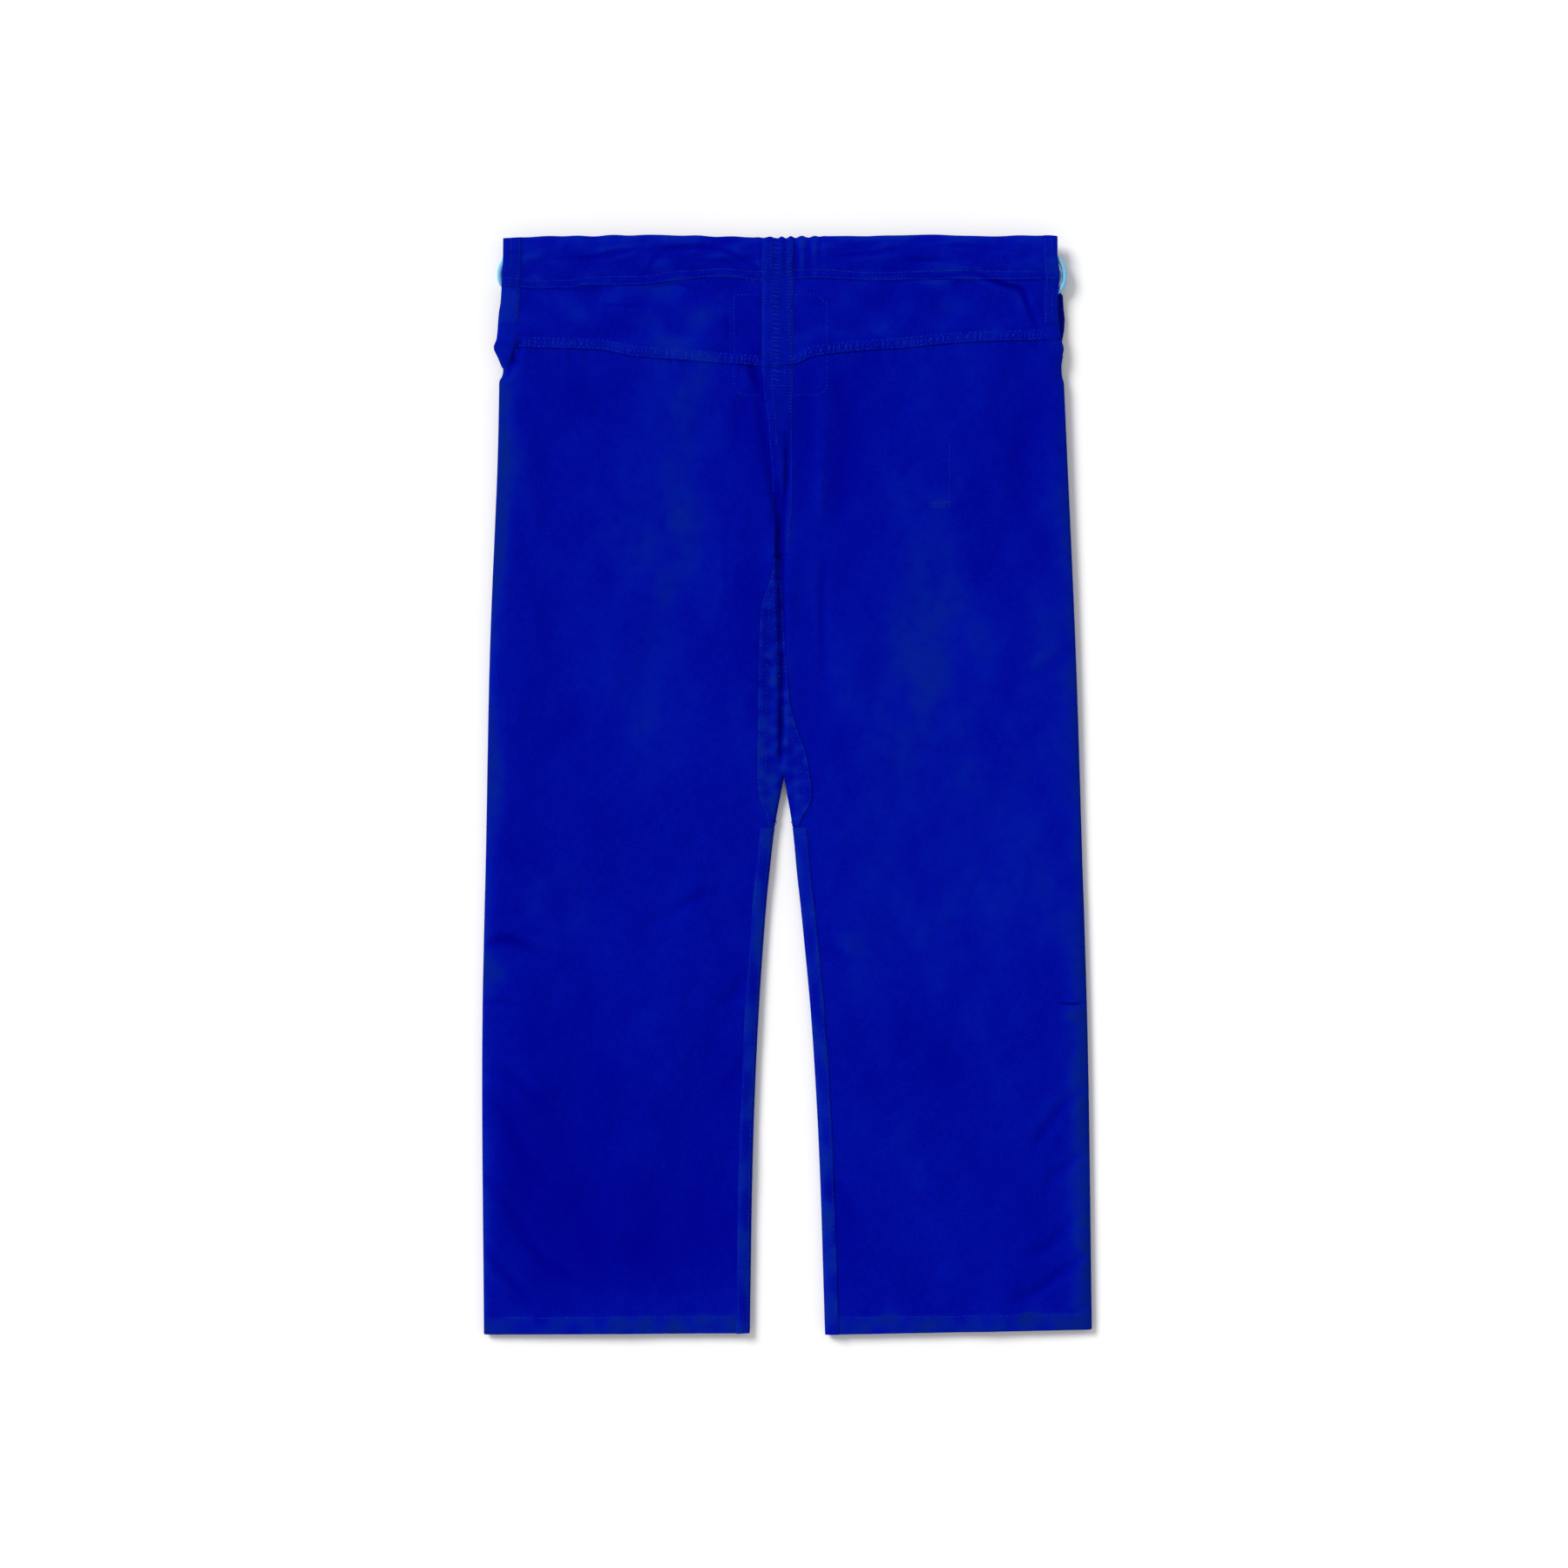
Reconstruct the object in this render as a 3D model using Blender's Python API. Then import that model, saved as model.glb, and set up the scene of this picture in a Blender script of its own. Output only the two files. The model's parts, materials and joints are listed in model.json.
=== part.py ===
"""Drawstring trousers of a martial arts uniform, lying flat with the back upwards.

Units are metres. +Z is up, +Y runs from the hems to the waist, and +X is the wearer's
right. The origin is on the floor under the middle of the garment.
"""

import math

import bmesh
import bpy
from mathutils import Vector

# Whole garment
LENGTH = 0.983
TOP = LENGTH / 2
HEM = -LENGTH / 2
CENTRE = -0.0082  # the centre seams lie a little to the left of the hems' middle
KNEE = -0.090

# Cloth, seams and cord
CLOTH = 0.0009
GAP = 0.0003
LAYER = CLOTH + GAP
SEAM_FLANGE = 0.009
FELL_WIDTH = 0.012
CORD = 0.0045
CORD_TIP = 0.0047
CORD_TIP_LENGTH = 0.020

# Waist
CASING_DEPTH = 0.038
CASING_HEIGHT = CORD + 2 * LAYER
CASING_EDGE = 0.0011  # half the thickness of a casing's top and bottom edges
CASING_CREST = 0.004  # half the width of the flat crest over the cord
CASING_RECESS = 0.008  # how far a casing's mouth lies inside the side edge
WAIST_GAP = 0.0052
FRONT_DROP = 0.025  # the front waist lies this much lower than the back waist
PLACKET_WIDTH = 0.0156
PLACKET_BOTTOM = 0.399
PLACKET_POINT = {  # folded point under each placket, as (y, outer x, inner x)
    "left": ((0.3906, -0.2623, -0.2420), (0.3711, -0.2532, -0.2506)),
    "right": ((0.3890, 0.2474, 0.2325), (0.3800, 0.2440, 0.2412)),
}
VENT_BOTTOM = 0.3905
HIP_LEG = 0.075  # straight run of each hip loop inside its casings
FRONT_MOUTHS = (-0.038, 0.022)  # where the two cord ends leave the front casings

# Back details. The tape's taper is given as (y, left x, right x).
YOKE_SIDE = {"left": 0.3990, "right": 0.4062}
YOKE_CENTRE = {"left": 0.3743, "right": 0.3815}
TAPE_WIDTH = 0.026
TAPE_TAPER = ((0.3150, -0.0150, 0.0040), (0.2565, -0.0115, 0.0036), (0.2060, -0.0120, 0.0000))
PATCH_SIZE = (0.0873, 0.0935)
PATCH_TOP = 0.4390
PATCH_CENTRE = -0.0059

# Legs
KNEE_PATCH_TOP = 0.100
HEM_DEPTH = 0.016
THIGH_PATCH = ((0.0835, 0.2500), (0.1455, 0.3120))
FOLD_AXIS_HEIGHT = 0.0125
ROW = 0.055  # spacing of the points along a long edge

# Edges of the garment from waist to hem, each point as (y, x)
OUTER_LEFT = (
    (TOP, -0.2530), (0.40, -0.2565), (0.30, -0.2582), (0.12, -0.2655),
    (-0.05, -0.2690), (-0.235, -0.2726), (HEM, -0.2710),
)
OUTER_RIGHT = (
    (TOP, 0.2415), (0.40, 0.2455), (0.30, 0.2500), (0.12, 0.2580),
    (-0.05, 0.2635), (-0.235, 0.2690), (HEM, 0.2726),
)
CROTCH = (0.0066, -0.0027)
INNER_LEFT = (
    CROTCH, (-0.04, -0.0113), (-0.09, -0.0169), (-0.20, -0.0251),
    (-0.33, -0.0305), (HEM, -0.0332),
)
INNER_RIGHT = (
    CROTCH, (-0.04, 0.0051), (-0.09, 0.0100), (-0.20, 0.0209),
    (-0.33, 0.0287), (HEM, 0.0339),
)
GUSSET_TOP = (0.2034, CENTRE)
GUSSET_TIP = -0.038
GUSSET_LEFT = (GUSSET_TOP, (0.15, -0.0213), (0.0, -0.0237), (GUSSET_TIP, -0.0140))
GUSSET_RIGHT = (
    GUSSET_TOP, (0.15, -0.0060), (0.073, 0.0), (0.0217, 0.0152),
    (-0.0095, 0.0195), (GUSSET_TIP, 0.0078),
)
LEFT = {
    "name": "left", "inward": 1, "outer": OUTER_LEFT, "inner": INNER_LEFT,
    "gusset": GUSSET_LEFT,
}
RIGHT = {
    "name": "right", "inward": -1, "outer": OUTER_RIGHT, "inner": INNER_RIGHT,
    "gusset": GUSSET_RIGHT,
}

# Heights of the casings' middles
FRONT_CASING_Z = CASING_HEIGHT / 2
BACK_CASING_Z = 1.5 * CASING_HEIGHT + WAIST_GAP
BACK_CASING_Y = TOP - CASING_DEPTH / 2
FRONT_CASING_Y = BACK_CASING_Y - FRONT_DROP
BACK_PANEL_TOP = TOP - CASING_DEPTH - GAP
FRONT_PANEL_TOP = BACK_PANEL_TOP - FRONT_DROP

# Underside of the front and back layers, at the knee (and below it) and at their top edges
FRONT_LOW = LAYER
FRONT_HIGH = CASING_HEIGHT - CLOTH
BACK_LOW = 0.0092
BACK_HIGH = BACK_CASING_Z - CASING_EDGE

# Colours
ROYAL_BLUE = (0.001, 0.006, 0.290)
DEEP_BLUE = (0.001, 0.005, 0.260)
SKY_BLUE = (0.300, 0.600, 0.900)
PALE_BLUE = (0.550, 0.750, 0.900)


def clear_scene():
    for old in list(bpy.data.objects):
        bpy.data.objects.remove(old, do_unlink=True)


def paint(piece, colour, roughness):
    """Give a piece its own Principled material."""
    material = bpy.data.materials.new(piece.name)
    material.use_nodes = True
    shader = material.node_tree.nodes["Principled BSDF"]
    shader.inputs["Base Color"].default_value = (*colour, 1.0)
    shader.inputs["Roughness"].default_value = roughness
    shader.inputs["Metallic"].default_value = 0.0
    piece.data.materials.append(material)


def hang_on(piece, axis):
    """Parent a moving piece to the empty on its joint's axis, without moving it."""
    piece.parent = axis
    piece.location = -axis.location


def solid(name, points, faces, colour=ROYAL_BLUE, axis=None):
    """One closed mesh with its faces turned outwards."""
    mesh = bpy.data.meshes.new(name)
    mesh.from_pydata(points, [], faces)
    shape = bmesh.new()
    shape.from_mesh(mesh)
    bmesh.ops.recalc_face_normals(shape, faces=shape.faces)
    shape.to_mesh(mesh)
    shape.free()
    piece = bpy.data.objects.new(name, mesh)
    bpy.context.collection.objects.link(piece)
    paint(piece, colour, 0.9)
    if axis:
        hang_on(piece, axis)
    return piece


def loft(name, sections, colour=ROYAL_BLUE, axis=None):
    """Join equal rings of points into a tube with flat ends."""
    count = len(sections[0])
    points = [point for section in sections for point in section]
    faces = [tuple(range(count)), tuple(range(len(points) - count, len(points)))]
    for ring in range(len(sections) - 1):
        for i in range(count):
            a = ring * count + i
            b = ring * count + (i + 1) % count
            faces.append((a, b, b + count, a + count))
    return solid(name, points, faces, colour, axis)


def sleeve(name, outer, inner, start, end):
    """A tube along X with its channel open at both ends. The rings are (y, z) points."""
    count = len(outer)
    rings = [(start, outer), (end, outer), (end, inner), (start, inner)]
    points = [(x, y, z) for x, ring in rings for y, z in ring]
    faces = []
    for ring in range(4):
        following = (ring + 1) % 4
        for i in range(count):
            j = (i + 1) % count
            faces.append((
                ring * count + i, ring * count + j,
                following * count + j, following * count + i,
            ))
    return solid(name, points, faces)


def plate(name, outline, underside, colour=ROYAL_BLUE, axis=None):
    """A piece of cloth cut to an outline, whose underside is at a height set by y."""
    low = [(x, y, underside(y)) for x, y in outline]
    high = [(x, y, z + CLOTH) for x, y, z in low]
    return loft(name, [low, high], colour, axis)


def edge_x(edge, y):
    """x of an edge at y, on a cubic that passes smoothly through the edge's points."""
    last = len(edge) - 2
    index = next((i for i in range(last) if y >= edge[i + 1][0]), last)
    (y0, x0), (y1, x1) = edge[index], edge[index + 1]
    before = edge[max(index - 1, 0)]
    after = edge[min(index + 2, len(edge) - 1)]
    span = y1 - y0
    pull_in = span * (x1 - before[1]) / (y1 - before[0])
    pull_out = span * (after[1] - x0) / (after[0] - y0)
    t = (y - y0) / span
    rise = t * t * (3 - 2 * t)
    return x0 + rise * (x1 - x0) + t * (1 - t) * ((1 - t) * pull_in - t * pull_out)


def rows(high, low):
    """Evenly spaced heights from high to low."""
    count = max(1, round((high - low) / ROW))
    return [high + (low - high) * i / count for i in range(count + 1)]


def front_z(y):
    """Underside of the front layer."""
    share = max(0.0, y - KNEE) / (FRONT_PANEL_TOP - KNEE)
    return FRONT_LOW + share * (FRONT_HIGH - FRONT_LOW)


def back_z(y):
    """Underside of the back layer."""
    share = max(0.0, y - KNEE) / (BACK_PANEL_TOP - KNEE)
    return BACK_LOW + share * (BACK_HIGH - BACK_LOW)


def front_layer(number):
    """Underside of a layer counted inwards from the front layer; -1 lies outside it."""
    return lambda y: front_z(y) + number * LAYER


def back_layer(number):
    """Underside of a layer counted outwards from the back layer; -1 lies inside it."""
    return lambda y: back_z(y) + number * LAYER


def side_line(side, high, low, inset):
    """Points down the outer edge, moved inwards."""
    return [(edge_x(side["outer"], y) + side["inward"] * inset, y) for y in rows(high, low)]


def inseam_line(side, high, low, inset):
    """Points down the inner edge of a leg, moved towards the middle of the leg."""
    return [(edge_x(side["inner"], y) - side["inward"] * inset, y) for y in rows(high, low)]


def thigh_outline(side, high):
    """Seat and thigh: centre seam, gusset seam, a short inseam, then the side seam."""
    towards = side["inward"]
    inner = [(CENTRE - towards * GAP / 2, high)]
    inner += [(x - towards * GAP, y) for y, x in side["gusset"]]
    inner[-1] = (inner[-1][0], GUSSET_TIP - GAP)
    inner += inseam_line(side, GUSSET_TIP - 3 * GAP, KNEE + GAP / 2, LAYER)
    outer = side_line(side, high, KNEE + GAP / 2, LAYER)
    return inner + outer[::-1]


def calf_outline(side, outer_inset=LAYER, inner_inset=LAYER, high=KNEE - GAP / 2, low=HEM):
    """Leg below the knee, between its two seams."""
    inner = inseam_line(side, high, low, inner_inset)
    outer = side_line(side, high, low, outer_inset)
    return inner + outer[::-1]


def panels(side, axis):
    """The four cut panels of one half: seat and thigh at the back, front, and both calves."""
    name = side["name"]
    plate(f"{name}_seat_panel", thigh_outline(side, BACK_PANEL_TOP), back_z)
    plate(f"{name}_front_panel", thigh_outline(side, FRONT_PANEL_TOP), front_z)
    plate(f"{name}_calf_panel", calf_outline(side), back_z, axis=axis)
    plate(f"{name}_shin_panel", calf_outline(side), front_z, axis=axis)


def knee_patches(side, axis):
    """Second layer of cloth on the front of the leg, outside the front panel."""
    name = side["name"]
    inset = SEAM_FLANGE + GAP
    for part, high, low, hinge in (
        ("upper", KNEE_PATCH_TOP, KNEE + GAP / 2, None),
        ("lower", KNEE - GAP / 2, HEM + HEM_DEPTH, axis),
    ):
        outer = side_line(side, high, low, inset)
        inner = [
            (edge_x(side["inner"], min(y, GUSSET_TIP)) - side["inward"] * inset, y)
            for y in rows(high, low)
        ]
        outline = inner + outer[::-1]
        plate(f"{name}_knee_patch_{part}", outline, front_layer(-1), DEEP_BLUE, hinge)


def hems(side, axis):
    """Turned-up cloth inside the leg opening, back and front."""
    name = side["name"]
    inset = SEAM_FLANGE + GAP
    top = HEM + HEM_DEPTH
    back = calf_outline(side, inset, LAYER, top, HEM)
    front = calf_outline(side, inset, inset, top, HEM)
    plate(f"{name}_back_hem", back, back_layer(-1), axis=axis)
    plate(f"{name}_front_hem", front, front_layer(1), axis=axis)


def side_seam_section(side, y):
    """Ring of points around the side seam: a wall with both flanges inside the leg."""
    low = front_z(y)
    high = back_z(y)
    ring = (
        (0, low), (CLOTH, low), (CLOTH, low + LAYER), (SEAM_FLANGE, low + LAYER),
        (SEAM_FLANGE, low + LAYER + CLOTH), (CLOTH, low + LAYER + CLOTH),
        (CLOTH, high - LAYER), (SEAM_FLANGE, high - LAYER), (SEAM_FLANGE, high - GAP),
        (CLOTH, high - GAP), (CLOTH, high + CLOTH), (0, high + CLOTH),
    )
    x = edge_x(side["outer"], y)
    return [(x + side["inward"] * inset, y, z) for inset, z in ring]


def inseam_section(side, y):
    """Ring of points around the inseam: felled flat on the back, tucked in at the front."""
    low = front_z(y)
    high = back_z(y) + LAYER
    ring = (
        (0, low), (CLOTH, low), (CLOTH, low + LAYER), (SEAM_FLANGE, low + LAYER),
        (SEAM_FLANGE, low + LAYER + CLOTH), (CLOTH, low + LAYER + CLOTH),
        (CLOTH, high), (FELL_WIDTH, high), (FELL_WIDTH, high + CLOTH), (0, high + CLOTH),
    )
    x = edge_x(side["inner"], y)
    return [(x - side["inward"] * inset, y, z) for inset, z in ring]


def seams(side, axis):
    """Side seam and inseam, each in a piece above the knee and a piece below it."""
    name = side["name"]
    for seam, section, start in (
        ("side_seam", side_seam_section, VENT_BOTTOM),
        ("inseam", inseam_section, GUSSET_TIP - 3 * GAP),
    ):
        for part, high, low, hinge in (
            ("upper", start, KNEE + GAP / 2, None),
            ("lower", KNEE - GAP / 2, HEM, axis),
        ):
            sections = [section(side, y) for y in rows(high, low)]
            loft(f"{name}_{seam}_{part}", sections, DEEP_BLUE, hinge)


def casing(name, start, end, middle_y, middle_z, bottom_z):
    """Folded tunnel around the cord, thick over the cord and thin at its two edges."""
    half = CASING_DEPTH / 2
    crest = CASING_HEIGHT / 2
    bore = CORD / 2 + GAP
    outer = (
        (middle_y + half, middle_z - CASING_EDGE), (middle_y + half, middle_z + CASING_EDGE),
        (middle_y + CASING_CREST, middle_z + crest), (middle_y - CASING_CREST, middle_z + crest),
        (middle_y - half, bottom_z + CASING_EDGE), (middle_y - half, bottom_z - CASING_EDGE),
        (middle_y - CASING_CREST, middle_z - crest), (middle_y + CASING_CREST, middle_z - crest),
    )
    reach = half - 2 * CLOTH
    slit = CASING_EDGE - CLOTH
    inner = (
        (middle_y + reach, middle_z - slit), (middle_y + reach, middle_z + slit),
        (middle_y + CASING_CREST, middle_z + bore), (middle_y - CASING_CREST, middle_z + bore),
        (middle_y - reach, bottom_z + slit), (middle_y - reach, bottom_z - slit),
        (middle_y - CASING_CREST, middle_z - bore), (middle_y + CASING_CREST, middle_z - bore),
    )
    return sleeve(name, outer, inner, start, end)


def casings(side, front_mouth):
    """Back and front halves of the waist casing on one side."""
    towards = side["inward"]
    name = side["name"]
    casing(
        f"{name}_back_casing", casing_mouth(side, BACK_CASING_Y), CENTRE - towards * GAP / 2,
        BACK_CASING_Y, BACK_CASING_Z, BACK_CASING_Z,
    )
    casing(
        f"{name}_front_casing", casing_mouth(side, FRONT_CASING_Y), front_mouth,
        FRONT_CASING_Y, FRONT_CASING_Z, CASING_HEIGHT - CASING_EDGE,
    )


def casing_mouth(side, y):
    """x of a casing's open end at the hip."""
    return edge_x(side["outer"], y) + side["inward"] * CASING_RECESS


def yoke(side):
    """Outer second layer of the seat, from the casing down to a slanting seam."""
    name = side["name"]
    towards = side["inward"]
    outer = edge_x(side["outer"], BACK_PANEL_TOP) + towards * GAP
    outline = [
        (CENTRE - towards * GAP / 2, BACK_PANEL_TOP),
        (CENTRE - towards * GAP / 2, YOKE_CENTRE[name]),
        (outer, YOKE_SIDE[name]),
        (outer, BACK_PANEL_TOP),
    ]
    plate(f"{name}_back_yoke", outline, back_layer(1))


def back_placket(side):
    """Facing of the hip vent, over the casing's end and the yoke, down to a folded point."""
    crest = BACK_CASING_Z + CASING_HEIGHT / 2 + GAP
    edge = BACK_CASING_Z + CASING_EDGE + GAP
    sections = []
    for y, z in (
        (TOP, edge),
        (BACK_CASING_Y + CASING_CREST, crest),
        (BACK_CASING_Y - CASING_CREST, crest),
        (TOP - CASING_DEPTH, edge),
        (PLACKET_BOTTOM, back_layer(2)(PLACKET_BOTTOM)),
    ):
        outer = edge_x(side["outer"], y)
        sections.append(flat_section(outer, outer + side["inward"] * PLACKET_WIDTH, y, z))
    for y, outer, inner in PLACKET_POINT[side["name"]]:
        sections.append(flat_section(outer, inner, y, back_layer(2)(y)))
    loft(f"{side['name']}_back_placket", sections, DEEP_BLUE)


def flat_section(outer, inner, y, z):
    """Cross-section of a flat strip of cloth that runs along Y."""
    return [(outer, y, z), (inner, y, z), (inner, y, z + CLOTH), (outer, y, z + CLOTH)]


def front_plackets():
    """Facings of the hip vents on the front layer. The right one shows past the back's edge."""
    top = FRONT_PANEL_TOP
    left = [(-0.2385, top), (-0.2550, top), (-0.2555, 0.3800), (-0.2385, 0.3800)]
    right = [
        (0.2290, top), (0.2440, top), (0.2478, 0.4230), (0.2484, 0.4156),
        (0.2476, 0.4050), (0.2455, 0.3950), (0.2440, 0.3800), (0.2290, 0.3800),
    ]
    plate("left_front_placket", left, front_layer(-1), DEEP_BLUE)
    plate("right_front_placket", right, front_layer(-1), DEEP_BLUE)


def centre_back_tape():
    """Tape over the centre back seam. It steps down off the yoke's lower edge, then tapers."""
    half = TAPE_WIDTH / 2
    step = min(YOKE_CENTRE.values()) - GAP
    sections = [
        flat_section(CENTRE - half, CENTRE + half, y, back_layer(layer)(y))
        for y, layer in ((BACK_PANEL_TOP, 2), (step, 2), (step - 2 * LAYER, 1))
    ]
    for y, left, right in TAPE_TAPER:
        sections.append(flat_section(left, right, y, back_layer(1)(y)))
    loft("centre_back_tape", sections, DEEP_BLUE)


def centre_front_tape():
    """Narrow tape over the centre front seam, on the outside."""
    half = TAPE_WIDTH / 4
    outline = [
        (CENTRE - half, FRONT_PANEL_TOP), (CENTRE - half, GUSSET_TOP[0]),
        (CENTRE + half, GUSSET_TOP[0]), (CENTRE + half, FRONT_PANEL_TOP),
    ]
    plate("centre_front_tape", outline, front_layer(-1), DEEP_BLUE)


def seat_patch():
    """Reinforcement inside the seat, with its lower corners rounded off."""
    width, height = PATCH_SIZE
    half = width / 2
    bottom = PATCH_TOP - height
    radius = 0.012
    outline = [(PATCH_CENTRE + half, PATCH_TOP), (PATCH_CENTRE - half, PATCH_TOP)]
    for corner, first in ((-1, math.pi), (1, 1.5 * math.pi)):
        for i in range(5):
            angle = first + i * math.pi / 8
            outline.append((
                PATCH_CENTRE + corner * (half - radius) + radius * math.cos(angle),
                bottom + radius + radius * math.sin(angle),
            ))
    plate("seat_patch", outline, back_layer(-1), DEEP_BLUE)


def thigh_patch():
    """Blank sewn-on patch on the front of the right thigh."""
    (x0, y0), (x1, y1) = THIGH_PATCH
    outline = [(x0, y0), (x1, y0), (x1, y1), (x0, y1)]
    plate("thigh_patch", outline, front_layer(-1), DEEP_BLUE)


def crotch_gusset():
    """Folded diamond between the legs: a back half, a front half and the fold that joins them."""
    left = [(x, y) for y, x in GUSSET_LEFT]
    right = [(x, y) for y, x in GUSSET_RIGHT[1:]]
    apex = (CROTCH[1], CROTCH[0])
    tips = [(edge_x(side["inner"], GUSSET_TIP), GUSSET_TIP) for side in (LEFT, RIGHT)]
    outline = left[::-1] + right + [tips[1], apex, tips[0]]
    back = plate("crotch_gusset", outline, back_z)
    front = plate("gusset_front_half", outline, front_z)
    band = [
        tips[0], apex, tips[1],
        (tips[1][0] + CLOTH, GUSSET_TIP), (apex[0], apex[1] + 5 * CLOTH),
        (tips[0][0] - CLOTH, GUSSET_TIP),
    ]
    low = [(x, y, front_z(y) + CLOTH / 2) for x, y in band]
    high = [(x, y, back_z(y) + CLOTH / 2) for x, y in band]
    fold = loft("gusset_fold", [low, high])
    for part in (front, fold):
        join = back.modifiers.new(part.name, "BOOLEAN")
        join.operation = "UNION"
        join.solver = "EXACT"
        join.object = part
        part.hide_render = True
        part.display_type = "WIRE"


def cord_loop(name, x):
    """Small strap under the front waist that a cord end passes through."""
    strap = 0.0007
    half = CORD / 2 + GAP
    y0, y1 = 0.405, 0.415
    root = front_layer(-1)(y0)
    ear = half + strap + 0.004
    ring = (
        (-half - strap, 0), (half + strap, 0), (half + strap, root), (ear, root),
        (ear, root + strap), (half, root + strap), (half, strap), (-half, strap),
        (-half, root + strap), (-ear, root + strap), (-ear, root), (-half - strap, root),
    )
    sections = [[(x + dx, y, z) for dx, z in ring] for y in (y1, y0)]
    loft(name, sections, DEEP_BLUE)


def smooth_route(points, spacing):
    """Evenly spaced points on a smooth curve through a cord's own points."""
    path = [Vector(point) for point in points]
    path = [2 * path[0] - path[1]] + path + [2 * path[-1] - path[-2]]
    fine = []
    for a, b, c, d in zip(path, path[1:], path[2:], path[3:]):
        for i in range(24):
            t = i / 24
            fine.append(
                b + (c - a) * t / 2 + (2 * a - 5 * b + 4 * c - d) * t * t / 2
                + (3 * b - a - 3 * c + d) * t ** 3 / 2
            )
    fine.append(path[-2])
    lengths = [0.0]
    for a, b in zip(fine, fine[1:]):
        lengths.append(lengths[-1] + (b - a).length)
    count = max(1, round(lengths[-1] / spacing))
    even = []
    index = 0
    for i in range(count + 1):
        target = lengths[-1] * i / count
        while index < len(fine) - 2 and lengths[index + 1] < target:
            index += 1
        share = (target - lengths[index]) / (lengths[index + 1] - lengths[index])
        even.append(fine[index].lerp(fine[index + 1], min(1.0, share)))
    return even


def tube(name, points, diameter, colour=SKY_BLUE, axis=None):
    """Round cord along its points, with filled ends."""
    curve = bpy.data.curves.new(name, "CURVE")
    curve.dimensions = "3D"
    curve.bevel_depth = diameter / 2
    curve.bevel_resolution = 2
    curve.use_fill_caps = True
    spline = curve.splines.new("POLY")
    spline.points.add(len(points) - 1)
    for slot, point in zip(spline.points, points):
        slot.co = (*point, 1.0)
    piece = bpy.data.objects.new(name, curve)
    bpy.context.collection.objects.link(piece)
    paint(piece, colour, 0.8)
    if axis:
        hang_on(piece, axis)
    return piece


def straight(start, end, y, z):
    """Points of a straight cord inside a casing."""
    return smooth_route([(start, y, z), ((start + end) / 2, y, z), (end, y, z)], 0.030)


def casing_cords(left_mouth, right_mouth):
    """The stretches of cord that stay inside the casings."""
    starts = []
    for side in (LEFT, RIGHT):
        inset = side["inward"] * (HIP_LEG + GAP)
        starts.append([casing_mouth(side, y) + inset for y in (BACK_CASING_Y, FRONT_CASING_Y)])
    (back_left, front_left), (back_right, front_right) = starts
    tube(
        "drawstring_back_run", straight(back_left, back_right, BACK_CASING_Y, BACK_CASING_Z), CORD
    )
    for name, start, end in (
        ("drawstring_left_run", front_left, left_mouth),
        ("drawstring_right_run", front_right, right_mouth),
    ):
        tube(name, straight(start, end, FRONT_CASING_Y, FRONT_CASING_Z), CORD)


def hip_loops(left_axis, right_axis):
    """The two bights of cord at the hips, each with a straight leg in either casing.

    The left one is a plain bight. The right one is slack and turns once more on its way.
    """
    middle_z = (BACK_CASING_Z + FRONT_CASING_Z) / 2
    back = casing_mouth(LEFT, BACK_CASING_Y)
    front = casing_mouth(LEFT, FRONT_CASING_Y)
    left = [
        (back + HIP_LEG, BACK_CASING_Y, BACK_CASING_Z),
        (back + HIP_LEG / 2, BACK_CASING_Y, BACK_CASING_Z),
        (back, BACK_CASING_Y, BACK_CASING_Z),
        (back - 0.0070, BACK_CASING_Y - 0.0055, BACK_CASING_Z - 0.0022),
        (-0.2566, 0.4570, middle_z + 0.0003),
        (front - 0.0078, FRONT_CASING_Y - 0.0003, FRONT_CASING_Z + 0.0024),
        (front, FRONT_CASING_Y, FRONT_CASING_Z),
        (front + HIP_LEG / 2, FRONT_CASING_Y, FRONT_CASING_Z),
        (front + HIP_LEG, FRONT_CASING_Y, FRONT_CASING_Z),
    ]
    back = casing_mouth(RIGHT, BACK_CASING_Y)
    front = casing_mouth(RIGHT, FRONT_CASING_Y)
    right = [
        (back - HIP_LEG, BACK_CASING_Y, BACK_CASING_Z),
        (back - HIP_LEG / 2, BACK_CASING_Y, BACK_CASING_Z),
        (back, BACK_CASING_Y, BACK_CASING_Z),
        (0.2402, 0.4702, BACK_CASING_Z - 0.0003),
        (0.2447, 0.4655, BACK_CASING_Z - 0.0010),
        (0.2476, 0.4570, BACK_CASING_Z - 0.0024),
        (0.2470, 0.4480, BACK_CASING_Z - 0.0038),
        (0.2420, 0.4405, middle_z + 0.0010),
        (0.2320, 0.4390, middle_z),
        (0.2230, 0.4455, middle_z),
        (0.2220, 0.4560, middle_z),
        (0.2285, 0.4640, middle_z - 0.0001),
        (0.2378, 0.4635, middle_z - 0.0002),
        (0.2432, 0.4565, middle_z - 0.0006),
        (0.2420, 0.4500, FRONT_CASING_Z + 0.0026),
        (front, FRONT_CASING_Y, FRONT_CASING_Z),
        (front - HIP_LEG / 2, FRONT_CASING_Y, FRONT_CASING_Z),
        (front - HIP_LEG, FRONT_CASING_Y, FRONT_CASING_Z),
    ]
    tube("drawstring_left_hip_loop", smooth_route(left, 0.0045), CORD, axis=left_axis)
    tube("drawstring_right_hip_loop", smooth_route(right, 0.0045), CORD, axis=right_axis)


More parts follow.
